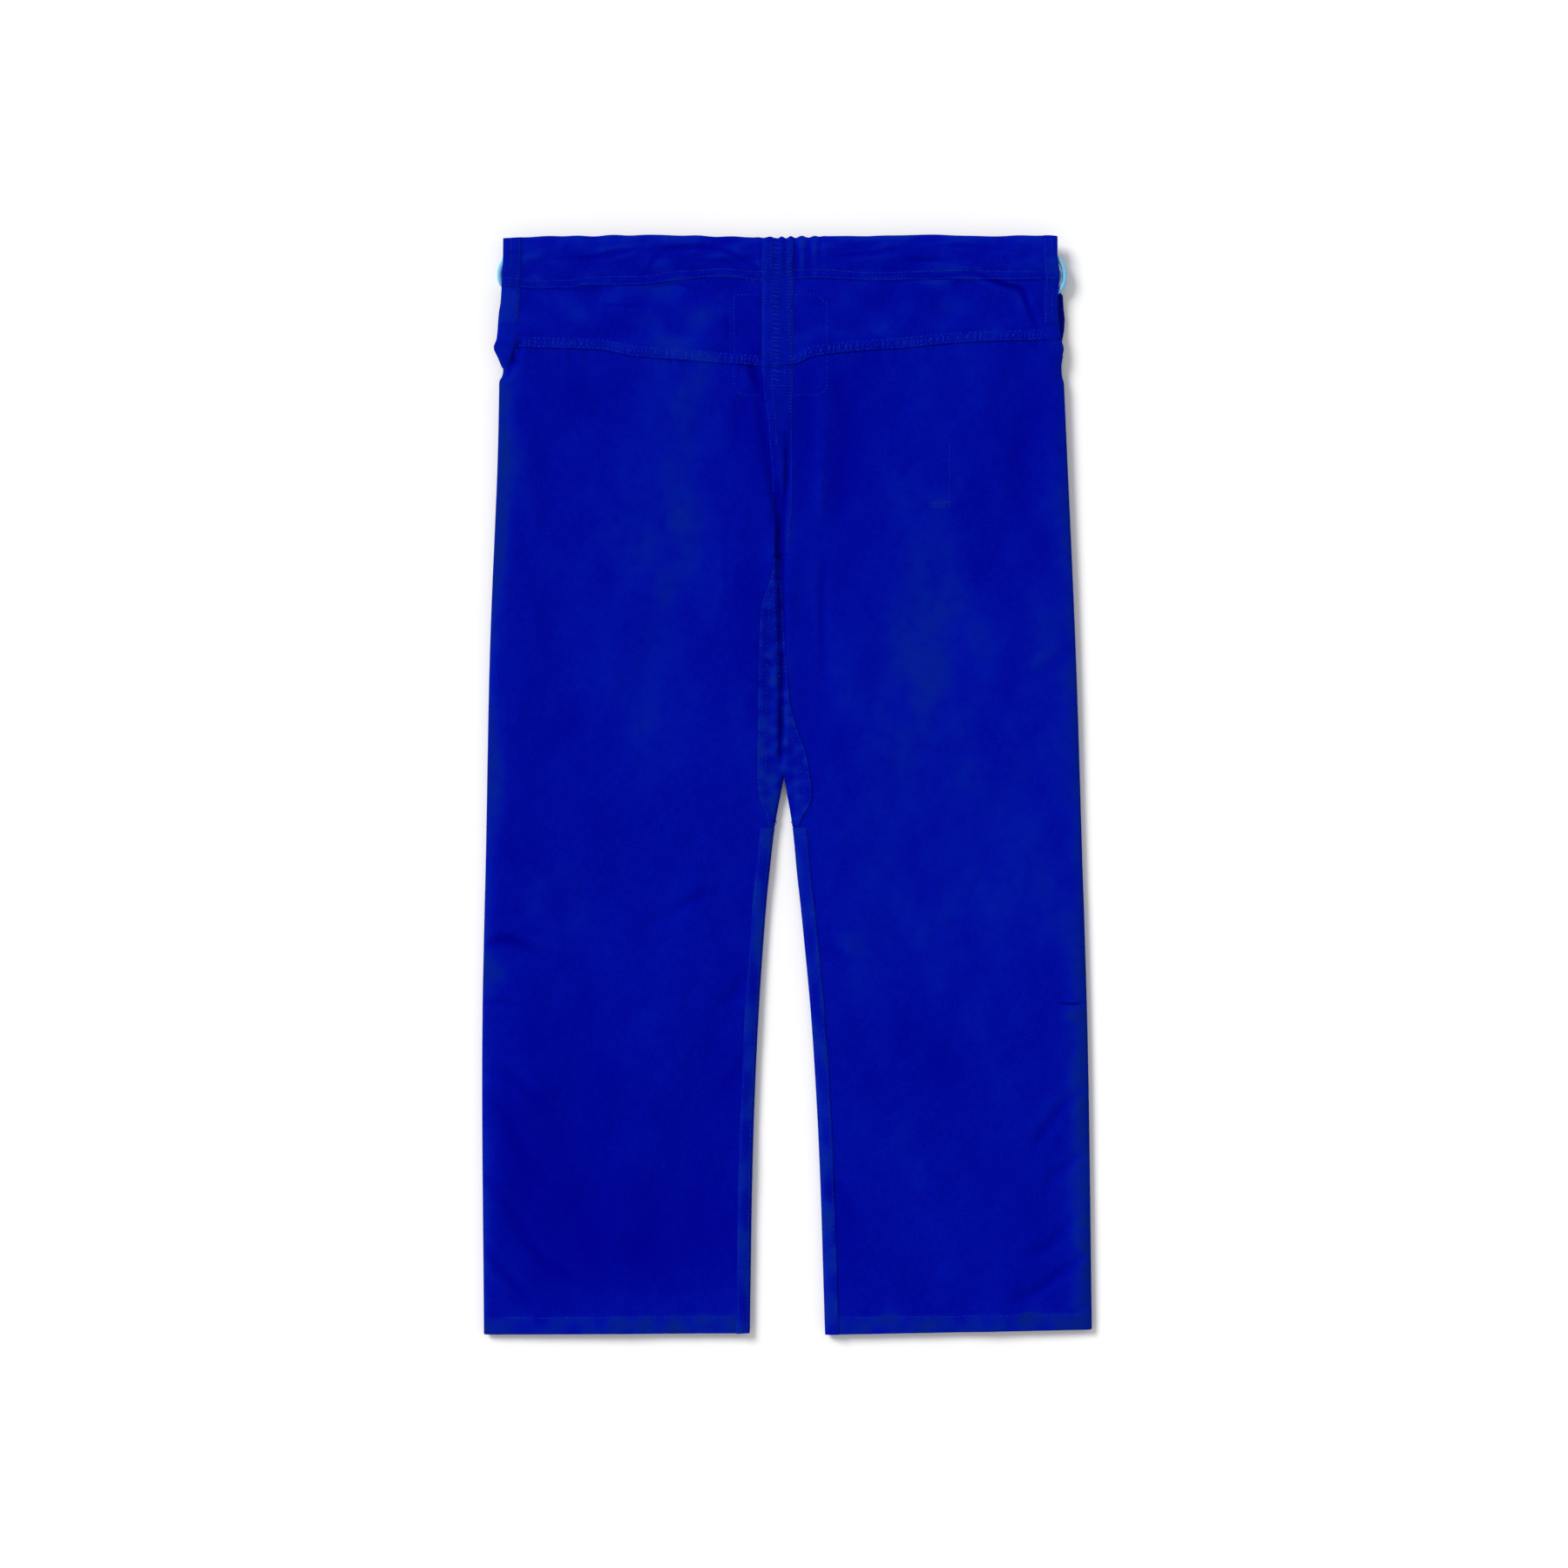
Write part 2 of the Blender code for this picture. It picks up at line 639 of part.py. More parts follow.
def cord_ends(left_mouth, right_mouth):
    """The two free ends, through their loops and loosely along the floor under the front."""
    floor = CORD / 2 + 0.00005
    inside = 0.0033  # height of the cord in its loop
    left = [
        (left_mouth + GAP, FRONT_CASING_Y, FRONT_CASING_Z),
        (left_mouth + 0.0030, FRONT_CASING_Y, FRONT_CASING_Z),
        (left_mouth + 0.0070, FRONT_CASING_Y - 0.0028, FRONT_CASING_Z),
        (left_mouth + 0.0100, FRONT_CASING_Y - 0.0115, FRONT_CASING_Z),
        (left_mouth + 0.0100, 0.4100, inside),
        (-0.0310, 0.3850, floor), (-0.0450, 0.3530, floor), (-0.0750, 0.3300, floor),
        (-0.1130, 0.3250, floor), (-0.1520, 0.3330, floor), (-0.1900, 0.3420, floor),
        (-0.2160, 0.3600, floor), (-0.2210, 0.3880, floor), (-0.2030, 0.4080, floor),
    ]
    right = [
        (right_mouth - GAP, FRONT_CASING_Y, FRONT_CASING_Z),
        (right_mouth - 0.0030, FRONT_CASING_Y, FRONT_CASING_Z),
        (right_mouth - 0.0070, FRONT_CASING_Y - 0.0028, FRONT_CASING_Z),
        (right_mouth - 0.0100, FRONT_CASING_Y - 0.0115, FRONT_CASING_Z),
        (right_mouth - 0.0100, 0.4100, inside),
        (0.0150, 0.3850, floor), (0.0300, 0.3540, floor), (0.0590, 0.3330, floor),
        (0.0960, 0.3350, floor), (0.1280, 0.3560, floor), (0.1540, 0.3840, floor),
        (0.1850, 0.3930, floor), (0.2080, 0.3740, floor), (0.2060, 0.3520, floor),
    ]
    for name, points in (("left", left), ("right", right)):
        route = [Vector(points[0])] + smooth_route(points[1:], 0.0060)
        tube(f"drawstring_{name}_tail", route, CORD)
        ahead = (route[-1] - route[-2]).normalized()
        rise = Vector((0, 0, (CORD_TIP - CORD) / 2))
        start = route[-1] + ahead * GAP + rise
        tip = [start, start + ahead * CORD_TIP_LENGTH]
        tube(f"{name}_cord_tip", tip, CORD_TIP, PALE_BLUE)


def empty(name, location):
    """Marker on a joint's axis."""
    marker = bpy.data.objects.new(name, None)
    marker.location = location
    bpy.context.collection.objects.link(marker)
    return marker


def build():
    clear_scene()
    for side, mouth in ((LEFT, FRONT_MOUTHS[0]), (RIGHT, FRONT_MOUTHS[1])):
        middle = (edge_x(side["outer"], KNEE) + edge_x(side["inner"], KNEE)) / 2
        fold = empty(f"{side['name']}_fold_axis", (middle, KNEE, FOLD_AXIS_HEIGHT))
        panels(side, fold)
        knee_patches(side, fold)
        hems(side, fold)
        seams(side, fold)
        casings(side, mouth)
        yoke(side)
        back_placket(side)
        cord_loop(f"{side['name']}_cord_loop", mouth + side["inward"] * 0.010)
    front_plackets()
    centre_back_tape()
    centre_front_tape()
    seat_patch()
    thigh_patch()
    crotch_gusset()
    casing_cords(*FRONT_MOUTHS)
    mouths = []
    for side in (LEFT, RIGHT):
        place = (casing_mouth(side, FRONT_CASING_Y), FRONT_CASING_Y, FRONT_CASING_Z)
        mouths.append(empty(f"{side['name']}_loop_axis", place))
    hip_loops(*mouths)
    cord_ends(*FRONT_MOUTHS)


build()
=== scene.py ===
"""Looks of the drawstring trousers: cloth, stitching, cord, materials, light and camera.

Units are metres in the CAD frame: +Z up, +Y from the hems to the waist, +X the wearer's
right. The cloth follows two height fields, one for the back layer and one for the front.
They read their flat levels and outlines from the CAD nodes and add creases and puckers.
"""

import json
import math

import bpy
import numpy as np
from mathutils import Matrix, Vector, geometry


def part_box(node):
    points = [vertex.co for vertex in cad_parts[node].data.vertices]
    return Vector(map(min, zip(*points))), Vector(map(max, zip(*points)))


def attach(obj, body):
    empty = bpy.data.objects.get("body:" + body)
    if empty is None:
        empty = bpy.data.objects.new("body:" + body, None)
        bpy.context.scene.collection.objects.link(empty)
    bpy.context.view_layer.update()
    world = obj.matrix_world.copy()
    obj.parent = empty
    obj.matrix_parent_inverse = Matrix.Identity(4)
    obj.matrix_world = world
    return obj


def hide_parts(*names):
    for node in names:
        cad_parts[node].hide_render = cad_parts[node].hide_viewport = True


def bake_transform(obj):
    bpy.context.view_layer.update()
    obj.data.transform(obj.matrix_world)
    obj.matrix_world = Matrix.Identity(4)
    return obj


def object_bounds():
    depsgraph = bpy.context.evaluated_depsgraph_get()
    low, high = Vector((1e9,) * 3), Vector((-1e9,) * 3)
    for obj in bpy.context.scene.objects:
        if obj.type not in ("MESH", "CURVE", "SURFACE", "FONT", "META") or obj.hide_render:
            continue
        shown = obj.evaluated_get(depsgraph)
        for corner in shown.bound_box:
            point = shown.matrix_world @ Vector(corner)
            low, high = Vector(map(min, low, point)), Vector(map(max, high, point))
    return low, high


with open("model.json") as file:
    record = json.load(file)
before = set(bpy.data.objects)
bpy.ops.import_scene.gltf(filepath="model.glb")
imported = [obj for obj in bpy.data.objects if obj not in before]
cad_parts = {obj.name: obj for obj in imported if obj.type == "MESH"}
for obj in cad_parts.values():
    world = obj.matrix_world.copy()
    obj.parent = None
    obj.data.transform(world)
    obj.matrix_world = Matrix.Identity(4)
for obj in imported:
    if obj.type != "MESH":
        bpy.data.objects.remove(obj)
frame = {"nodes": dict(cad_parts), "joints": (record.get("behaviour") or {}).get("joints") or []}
cad_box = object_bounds()

# Cloth and seams
CLOTH = 0.0009
GAP = 0.0003
SKIN = 0.00015  # keeps two faces from lying in one another
LAYER = CLOTH + GAP
CORD = 0.0045
ROLL = 0.016  # width of the rounded band along a folded edge
ROLL_POWER = 2.4
FELL_WIDTH = 0.0125
HEM_DEPTH = 0.016
KNEE_INSET = 0.0093  # distance of the knee cloth from the leg's edges
VENT_DROP = 0.45  # how far an open vent's edge sinks, as a share of a closed edge
RELIEF = 1.7  # strength of the creases
DEEPEST = -0.0075  # the deepest crease, which stays clear of the front
STITCH_PITCH = 0.0029
STITCH_LENGTH = 0.0021
THREAD = 0.00032  # radius of the topstitching thread
CROTCH = (-0.0027, 0.0066)

# The four cut outlines that the CAD simplifies, as (x, y)
WAIST_EDGE = (
    (-0.2530, 0.4874), (-0.2000, 0.4893), (-0.1431, 0.4900), (-0.1217, 0.4902),
    (-0.0600, 0.4891), (-0.0246, 0.4880), (0.0300, 0.4890), (0.0733, 0.4895),
    (0.1252, 0.4903), (0.1800, 0.4894), (0.2297, 0.4896), (0.2420, 0.4888),
)
CASING_SEAM = (
    (-0.2530, 0.4440), (-0.2211, 0.4419), (-0.1930, 0.4421), (-0.1820, 0.4447),
    (-0.1580, 0.4452), (-0.1236, 0.4458), (-0.1040, 0.4486), (-0.0573, 0.4522),
    (-0.0260, 0.4496), (0.0207, 0.4513), (0.0520, 0.4502), (0.0752, 0.4490),
    (0.1143, 0.4501), (0.1610, 0.4505), (0.2000, 0.4498), (0.2420, 0.4505),
)
YOKE_SEAM = {
    "left": (
        (-0.2565, 0.3925), (-0.2383, 0.3903), (-0.1704, 0.3882), (-0.1353, 0.3820),
        (-0.0940, 0.3789), (-0.0246, 0.3735), (-0.0082, 0.3722),
    ),
    "right": (
        (-0.0082, 0.3722), (0.0066, 0.3750), (0.0222, 0.3815), (0.0589, 0.3864),
        (0.0971, 0.3890), (0.1392, 0.3929), (0.1720, 0.3952), (0.2141, 0.3962),
        (0.2455, 0.3975),
    ),
}
VENT_POINT = {  # the folded lower end of each vent facing, as (y, outer x, inner x)
    "left": (
        (0.4300, -0.2556, -0.2385), (0.4218, -0.2570, -0.2387), (0.3976, -0.2594, -0.2398),
        (0.3906, -0.2620, -0.2412), (0.3805, -0.2580, -0.2462), (0.3720, -0.2545, -0.2505),
    ),
    "right": (
        (0.4300, 0.2417, 0.2290), (0.4218, 0.2420, 0.2292), (0.3976, 0.2450, 0.2310),
        (0.3885, 0.2472, 0.2335), (0.3840, 0.2462, 0.2365), (0.3800, 0.2450, 0.2400),
    ),
}

# Where an outer edge is drawn in from the CAD's line, as (y, amount, reach along the edge)
DRAWN_IN = {
    "left": ((0.3700, 0.0034, 0.0075), (0.4650, 0.0008, 0.0120)),
    "right": ((0.4230, 0.0054, 0.0210), (0.4750, 0.0012, 0.0140), (0.3700, 0.0016, 0.0090)),
}
HEM_LIFT = {"left": 0.0015, "right": 0.0045}  # rise of a hem towards the wearer's right

# Soft lighter and darker areas of the cloth, as (amount, x, y, reach in x, reach in y). Darker spots that lie
# on a crease are painted shade there.
TONES = (
    (-0.75, -0.215, -0.340, 0.075, 0.170), (-0.30, -0.080, -0.350, 0.060, 0.130),
    (0.25, -0.130, -0.330, 0.050, 0.030), (0.45, -0.095, 0.265, 0.040, 0.100),
    (-0.35, -0.235, 0.120, 0.030, 0.140), (-0.30, -0.060, -0.070, 0.045, 0.080),
    (-0.35, 0.190, 0.330, 0.055, 0.070), (0.42, 0.130, 0.110, 0.065, 0.160),
    (-0.25, 0.060, 0.260, 0.030, 0.100), (0.25, 0.180, -0.150, 0.060, 0.120),
    (-0.30, 0.200, -0.430, 0.060, 0.060), (-0.25, 0.060, -0.400, 0.040, 0.060),
    (0.20, -0.120, 0.100, 0.040, 0.040), (-0.30, -0.190, 0.345, 0.050, 0.030),
    (-0.35, -0.010, 0.270, 0.035, 0.130), (-0.50, -0.185, 0.045, 0.040, 0.035),
    (-0.35, -0.065, 0.094, 0.025, 0.040), (-0.40, -0.140, -0.370, 0.070, 0.060),
    (-0.40, 0.160, -0.300, 0.040, 0.110), (0.55, 0.264, -0.330, 0.014, 0.160),
    (0.60, -0.259, 0.240, 0.013, 0.120), (0.50, -0.265, -0.330, 0.010, 0.030),
    (-0.30, -0.160, 0.370, 0.030, 0.050), (-0.45, -0.249, -0.139, 0.012, 0.009),
    (0.60, -0.258, -0.169, 0.013, 0.016), (-0.30, -0.245, -0.063, 0.012, 0.010),
    (0.25, 0.137, 0.252, 0.009, 0.005), (0.35, -0.266, -0.250, 0.008, 0.040),
    (0.30, 0.000, -0.010, 0.020, 0.050), (-0.25, 0.058, 0.330, 0.014, 0.060),
    (-0.45, 0.022, 0.370, 0.026, 0.100), (-0.30, -0.032, 0.190, 0.022, 0.140),
    (-0.20, 0.073, 0.100, 0.022, 0.060), (-0.30, 0.215, 0.420, 0.030, 0.030),
    (-0.25, 0.215, 0.190, 0.030, 0.030), (0.45, -0.262, -0.020, 0.011, 0.050),
    (0.30, -0.205, 0.210, 0.030, 0.050), (0.30, -0.112, 0.050, 0.030, 0.070),
    (-0.30, 0.170, -0.155, 0.030, 0.040), (-0.30, -0.130, -0.420, 0.070, 0.025),
    (-0.55, 0.0430, 0.357, 0.007, 0.016), (-0.50, -0.029, 0.389, 0.009, 0.015),
    (-0.60, -0.028, 0.363, 0.008, 0.010), (0.22, 0.045, 0.415, 0.030, 0.025),
)

# Creases of the back, as (width, depth, points along the crease). A negative depth is a ridge.
CREASES = (
    (0.0040, 0.0028, (
        (-0.0375, 0.3755), (-0.0310, 0.3700), (-0.0262, 0.3640), (-0.0215, 0.3540), (-0.0190, 0.3440),
    )),
    (0.0052, 0.0016, (
        (-0.0330, 0.3700), (-0.0270, 0.3560), (-0.0215, 0.3250), (-0.0170, 0.2950),
        (-0.0130, 0.2720), (-0.0085, 0.2500), (-0.0064, 0.2300),
    )),
    (0.0026, 0.0022, (
        (-0.0002, 0.3120), (0.0002, 0.2860), (-0.0006, 0.2640), (-0.0030, 0.2400), (-0.0050, 0.2200),
    )),
    (0.0050, 0.0036, ((-0.0080, 0.2680), (-0.0066, 0.2400), (-0.0062, 0.2150), (-0.0060, 0.1850))),
    (0.0034, 0.0040, (
        (-0.0062, 0.2250), (-0.0058, 0.1800), (-0.0050, 0.1500), (-0.0046, 0.1200), (-0.0045, 0.0850),
    )),
    (0.0025, 0.0036, ((-0.0046, 0.1150), (-0.0048, 0.0750), (-0.0050, 0.0400), (-0.0052, 0.0190))),
    (0.0015, 0.0012, ((-0.0240, 0.1150), (-0.0150, 0.1080), (-0.0110, 0.1035))),
    (0.0100, 0.0010, ((0.0520, 0.3672), (0.0510, 0.3126), (0.0480, 0.2658), (0.0420, 0.2300))),
    (0.0034, 0.0013, ((0.0335, 0.2050), (0.0318, 0.1750), (0.0318, 0.1400), (0.0325, 0.0950))),
    (0.0060, -0.0010, ((0.0290, 0.3600), (0.0300, 0.3100), (0.0290, 0.2600), (0.0290, 0.2300))),
    (0.0026, 0.0006, ((-0.0534, 0.2448), (-0.0540, 0.2000), (-0.0534, 0.1621))),
    (0.0024, 0.0010, ((0.2141, 0.3960), (0.2230, 0.3890), (0.2313, 0.3821))),
    (0.0032, 0.0026, (
        (-0.2388, 0.3990), (-0.2397, 0.3922), (-0.2414, 0.3844), (-0.2440, 0.3774),
        (-0.2480, 0.3696), (-0.2535, 0.3600),
    )),
    (0.0046, 0.0016, (
        (-0.2700, -0.1450), (-0.2600, -0.1405), (-0.2500, -0.1382), (-0.2360, -0.1440), (-0.2160, -0.1550),
    )),
    (0.0034, 0.0009, ((-0.2700, -0.1960), (-0.2560, -0.1950), (-0.2400, -0.1990))),
    (0.0050, 0.0009, ((-0.2680, -0.2540), (-0.2445, -0.2623), (-0.2297, -0.2771), (-0.2100, -0.2930))),
    (0.0055, 0.0010, (
        (-0.2680, -0.2760), (-0.2519, -0.2958), (-0.2414, -0.3184), (-0.2297, -0.3418), (-0.2050, -0.3660),
    )),
    (0.0055, 0.0011, (
        (-0.2700, -0.3500), (-0.2531, -0.3714), (-0.2360, -0.4010), (-0.2180, -0.4276),
        (-0.2009, -0.4362), (-0.1780, -0.4500),
    )),
    (0.0050, 0.0014, ((-0.2690, -0.4150), (-0.2504, -0.4393), (-0.2280, -0.4680))),
    (0.0016, 0.0010, ((-0.2710, -0.4745), (-0.2600, -0.4765), (-0.2490, -0.4780))),
    (0.0050, 0.0008, ((-0.0600, -0.0910), (-0.0900, -0.1060), (-0.1250, -0.1250))),
    (0.0070, 0.0010, ((-0.0330, -0.1700), (-0.0480, -0.1880), (-0.0640, -0.2010))),
    (0.0080, 0.0010, ((-0.0330, -0.2330), (-0.0440, -0.2560), (-0.0600, -0.2800))),
    (0.0011, 0.0018, ((0.2690, -0.1940), (0.2560, -0.1963), (0.2430, -0.1955))),
    (0.0060, -0.0009, ((0.2640, -0.2040), (0.2540, -0.2060), (0.2400, -0.2030))),
    (0.0055, 0.0010, ((0.2700, -0.2680), (0.2465, -0.2892), (0.2297, -0.3098), (0.2190, -0.3300))),
    (0.0052, 0.0009, ((0.2700, -0.3260), (0.2465, -0.3426), (0.2260, -0.3650))),
    (0.0050, 0.0010, ((0.2580, -0.3850), (0.2321, -0.4124), (0.2100, -0.4230))),
    (0.0050, 0.0013, ((0.2700, -0.4190), (0.2445, -0.4370), (0.2239, -0.4533), (0.2020, -0.4640))),
    (0.0016, 0.0010, ((0.2715, -0.4690), (0.2600, -0.4720), (0.2490, -0.4740))),
    (0.0080, 0.0010, ((0.0300, -0.1400), (0.0440, -0.1530), (0.0600, -0.1600))),
    (0.0080, 0.0010, ((0.0400, -0.3500), (0.0520, -0.3700), (0.0620, -0.3950))),
    (0.0060, -0.0007, ((0.2133, 0.1044), (0.2260, 0.1120), (0.2400, 0.1240))),
    (0.0120, 0.0010, ((-0.2300, 0.3300), (-0.2150, 0.2800), (-0.2100, 0.2200))),
    (0.0140, 0.0010, ((0.2200, 0.3500), (0.2080, 0.2900), (0.2100, 0.2300))),
    (0.0060, 0.0009, ((-0.0300, 0.3560), (-0.0420, 0.3300), (-0.0480, 0.2900))),
)
CASING_CREASES = (
    (0.0026, 0.0014, (
        (0.1080, 0.4535), (0.1410, 0.4539), (0.1628, 0.4560), (0.1798, 0.4508),
        (0.1950, 0.4455), (0.2090, 0.4405), (0.2140, 0.4290), (0.2180, 0.4190), (0.2230, 0.4060),
    )),
    (0.0022, 0.0010, ((-0.2080, 0.4700), (-0.1837, 0.4690), (-0.1587, 0.4730), (-0.1300, 0.4780))),
    (0.0024, 0.0011, (
        (-0.1270, 0.4560), (-0.1135, 0.4735), (-0.0994, 0.4785), (-0.0628, 0.4777),
        (-0.0417, 0.4690), (-0.0250, 0.4590),
    )),
    (0.0018, 0.0007, ((-0.0830, 0.4670), (-0.0600, 0.4660), (-0.0400, 0.4640))),
    (0.0022, 0.0009, ((0.0400, 0.4720), (0.0700, 0.4735), (0.1000, 0.4770))),
    (0.0018, 0.0011, ((0.1070, 0.4670), (0.1250, 0.4678), (0.1420, 0.4672))),
    (0.0018, 0.0008, ((0.1400, 0.4810), (0.1650, 0.4800), (0.1900, 0.4770))),
    (0.0016, 0.0005, ((-0.1640, 0.4275), (-0.1460, 0.4268), (-0.1270, 0.4265))),
    (0.0020, 0.0005, ((-0.0950, 0.4460), (-0.0850, 0.4430), (-0.0740, 0.4390))),
    (0.0016, 0.0007, ((-0.0535, 0.4190), (-0.0532, 0.4080), (-0.0538, 0.3950))),
)


# ---------------------------------------------------------------- curves and outlines


def smooth_line(points):
    """Function through (t, value) points, on a cubic that never swings past them."""
    t, value = np.array(sorted(points), float).T
    step = np.diff(t)
    secant = np.diff(value) / step
    slope = np.concatenate([secant[:1], np.zeros(len(t) - 2), secant[-1:]])
    product = secant[:-1] * secant[1:]
    total = np.where(product > 0, secant[:-1] + secant[1:], 1.0)
    slope[1:-1] = np.where(product > 0, 2 * product / total, 0.0)

    def line(at):
        at = np.clip(np.asarray(at, float), t[0], t[-1])
        i = np.clip(np.searchsorted(t, at, side="right") - 1, 0, len(step) - 1)
        s = (at - t[i]) / step[i]
        rise = s * s * (3 - 2 * s)
        pull = (1 - s) ** 2 * s * slope[i] - s * s * (1 - s) * slope[i + 1]
        return value[i] + rise * (value[i + 1] - value[i]) + step[i] * pull

    return line


def node_points(*names):
    """Vertices of some CAD nodes."""
    return np.array([v.co[:] for name in names for v in frame["nodes"][name].data.vertices])


def furthest(points, sign):
    """(y, x) of the points that lie furthest towards sign along X, at each y."""
    found = {}
    for x, y in points[:, :2]:
        key = round(float(y), 4)
        found[key] = max(found.get(key, -1.0), float(x) * sign)
    return [(y, x * sign) for y, x in found.items()]


def centre_of(node):
    """Middle of a CAD node's box, as x, y, z."""
    low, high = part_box(node)
    return [(a + b) / 2 for a, b in zip(low, high)]


CENTRE = centre_of("centre_back_tape")[0]
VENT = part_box("left_side_seam_upper")[1].y
GUSSET_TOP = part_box("crotch_gusset")[1].y
GUSSET_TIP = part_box("crotch_gusset")[0].y
TOP = cad_box[1].y
HEM = cad_box[0].y


class Side:
    """One half of the trousers: its name, its direction and its edges as functions of y."""

    def __init__(self, name, inward):
        self.name = name
        self.inward = inward
        self.lower = f"{name}_lower_leg"
        joint = next(j for j in frame["joints"] if j["name"] == f"{name}_leg_fold")
        self.axis = joint["pos_m"]
        seams = node_points(f"{name}_side_seam_upper", f"{name}_side_seam_lower")
        facing = node_points(f"{name}_back_placket")
        facing = facing[facing[:, 1] > VENT + 0.005]
        self.cad_outer = smooth_line(furthest(np.concatenate([facing, seams]), -inward))
        inseam = node_points(f"{name}_inseam_upper", f"{name}_inseam_lower")
        edge = furthest(inseam, inward)
        self.inner = smooth_line([*edge, (CROTCH[1], CROTCH[0])])
        seat = node_points(f"{name}_seat_panel")
        near = (np.abs(seat[:, 0] - CENTRE) < 0.05) & (seat[:, 1] > GUSSET_TIP - 2 * GAP)
        below = [(y, x - inward * LAYER) for y, x in edge if y < GUSSET_TIP - 0.02]
        self.seam = smooth_line(furthest(seat[near], inward) + below)

    def outer(self, y):
        """x of the outer edge, drawn in here and there."""
        y = np.asarray(y, float)
        amount = sum(size * np.exp(-(((y - at) / reach) ** 4)) for at, size, reach in DRAWN_IN[self.name])
        return self.cad_outer(y) + self.inward * amount

    def knee_edges(self, y, away=0.0):
        """x of the knee cloth's outer and inner edge, or of lines a little inside them."""
        inset = self.inward * (KNEE_INSET + away)
        return self.outer(y) + inset, self.inner(np.minimum(y, GUSSET_TIP)) - inset

    def fold(self, piece):
        """Bake a piece's placement into its mesh."""
        x, y, z = self.axis
        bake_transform(piece)


SIDES = (Side("left", 1), Side("right", -1))
LEFT, RIGHT = SIDES
KNEE = LEFT.axis[1]
waist_edge = smooth_line(WAIST_EDGE)
casing_seam = smooth_line(CASING_SEAM)
yoke_seam = {name: smooth_line(points) for name, points in YOKE_SEAM.items()}


# ---------------------------------------------------------------- height fields


def waves(x, y, length, seed, stretch=(1.0, 1.0)):
    """Smooth random field with a spread of about 1, from plane waves about length long."""
    count = 12
    dice = np.random.default_rng(seed)
    total = np.zeros(np.broadcast(x, y).shape)
    for _ in range(count):
        angle = dice.uniform(0, 2 * math.pi)
        k = 2 * math.pi / (length * dice.uniform(0.7, 1.5))
        phase = dice.uniform(0, 2 * math.pi)
        total += np.cos(
            k * (x * math.cos(angle) / stretch[0] + y * math.sin(angle) / stretch[1]) + phase
        )
    return total / math.sqrt(count / 2)


def distance_to(x, y, points):
    """Distance to a line of points, and the share of the way along it."""
    best = np.full(np.broadcast(x, y).shape, 1.0)
    along = np.zeros_like(best)
    last = len(points) - 1
    for i in range(last):
        (ax, ay), (bx, by) = points[i], points[i + 1]
        dx, dy = bx - ax, by - ay
        length = max(dx * dx + dy * dy, 1e-12)
        t = np.clip(((x - ax) * dx + (y - ay) * dy) / length, 0, 1)
        away = np.hypot(x - ax - t * dx, y - ay - t * dy)
        along = np.where(away < best, (i + t) / last, along)
        best = np.minimum(best, away)
    return best, along


def crease_depth(x, y, creases):
    """Height change from a list of creases, which fade out towards their ends."""
    total = np.zeros(np.broadcast(x, y).shape)
    for width, depth, points in creases:
        away, along = distance_to(x, y, curve_points(points, 6))
        fade = np.sin(np.pi * np.clip(along, 0.03, 0.97)) ** 0.5
        shape = np.exp(-((away / width) ** 2)) - 0.30 * np.exp(-((away / (2.4 * width)) ** 2))
        total -= RELIEF * depth * fade * shape
    return total


def tones_and_crease_shading(x, y):
    """Lighter and darker areas, from -1 to 1: broad soft areas, plus painted shade in the creases and painted
    light on the ridges.
    """
    total = 0.10 * waves(x, y, 0.110, 71, (1, 1.5)) + 0.07 * waves(x, y, 0.040, 72, (1, 1.6))
    for amount, at_x, at_y, reach_x, reach_y in TONES:
        total += amount * np.exp(-(((x - at_x) / reach_x) ** 2) - ((y - at_y) / reach_y) ** 2)
    # the crease term is painted shade in the creases and painted light on the ridges
    return np.clip(total + crease_depth(x, y, CREASES) / 0.0034, -1, 1)


def curve_points(points, steps):
    """Points on a Catmull-Rom curve through some points, steps to each stretch."""
    p = np.array(points, float)
    p = np.concatenate([2 * p[:1] - p[1:2], p, 2 * p[-1:] - p[-2:-1]])
    t = (np.arange(steps) / steps)[None, :, None]
    a, b, c, d = (p[i:len(p) - 3 + i, None, :] for i in range(4))
    curve = (
        b + (c - a) * t / 2 + (2 * a - 5 * b + 4 * c - d) * t ** 2 / 2
        + (3 * b - a - 3 * c + d) * t ** 3 / 2
    )
    return np.concatenate([curve.reshape(-1, p.shape[1]), p[-2:-1]])


def run_along(line):
    """Distance along a line at each of its points."""
    return np.concatenate([[0], np.cumsum(np.linalg.norm(np.diff(line, axis=0), axis=1))])


def even_points(points, spacing):
    """Evenly spaced points on a smooth curve through a few points."""
    fine = curve_points(points, 24)
    run = run_along(fine)
    at = np.linspace(0, run[-1], max(1, round(run[-1] / spacing)) + 1)
    return np.stack([np.interp(at, run, fine[:, i]) for i in range(fine.shape[1])], axis=1)


def as_arrays(x, y):
    return np.broadcast_arrays(np.asarray(x, float), np.asarray(y, float))


def edge_distances(x, y):
    """Distances to the outer edge and to the crotch or inner edge of the leg a point is on."""
    is_left = np.where(y < CROTCH[1], x < CROTCH[0], x < CENTRE)
    outer = np.where(is_left, x - LEFT.outer(y), RIGHT.outer(y) - x)
    inner = np.where(is_left, LEFT.inner(y) - x, x - RIGHT.inner(y))
    above = np.hypot(x - CROTCH[0], y - CROTCH[1])
    return np.maximum(outer, 0), np.maximum(np.where(y < CROTCH[1], inner, above), 0)


def roll(distance, width=ROLL):
    """Rise from 0 at a folded edge to 1, as on the side of a round fold."""
    near = 1 - np.clip(distance / width, 0, 1)
    return (1 - near ** ROLL_POWER) ** (1 / ROLL_POWER)


def above_knee(y, top):
    return np.clip((y - KNEE) / (top - KNEE), 0, 1.1)


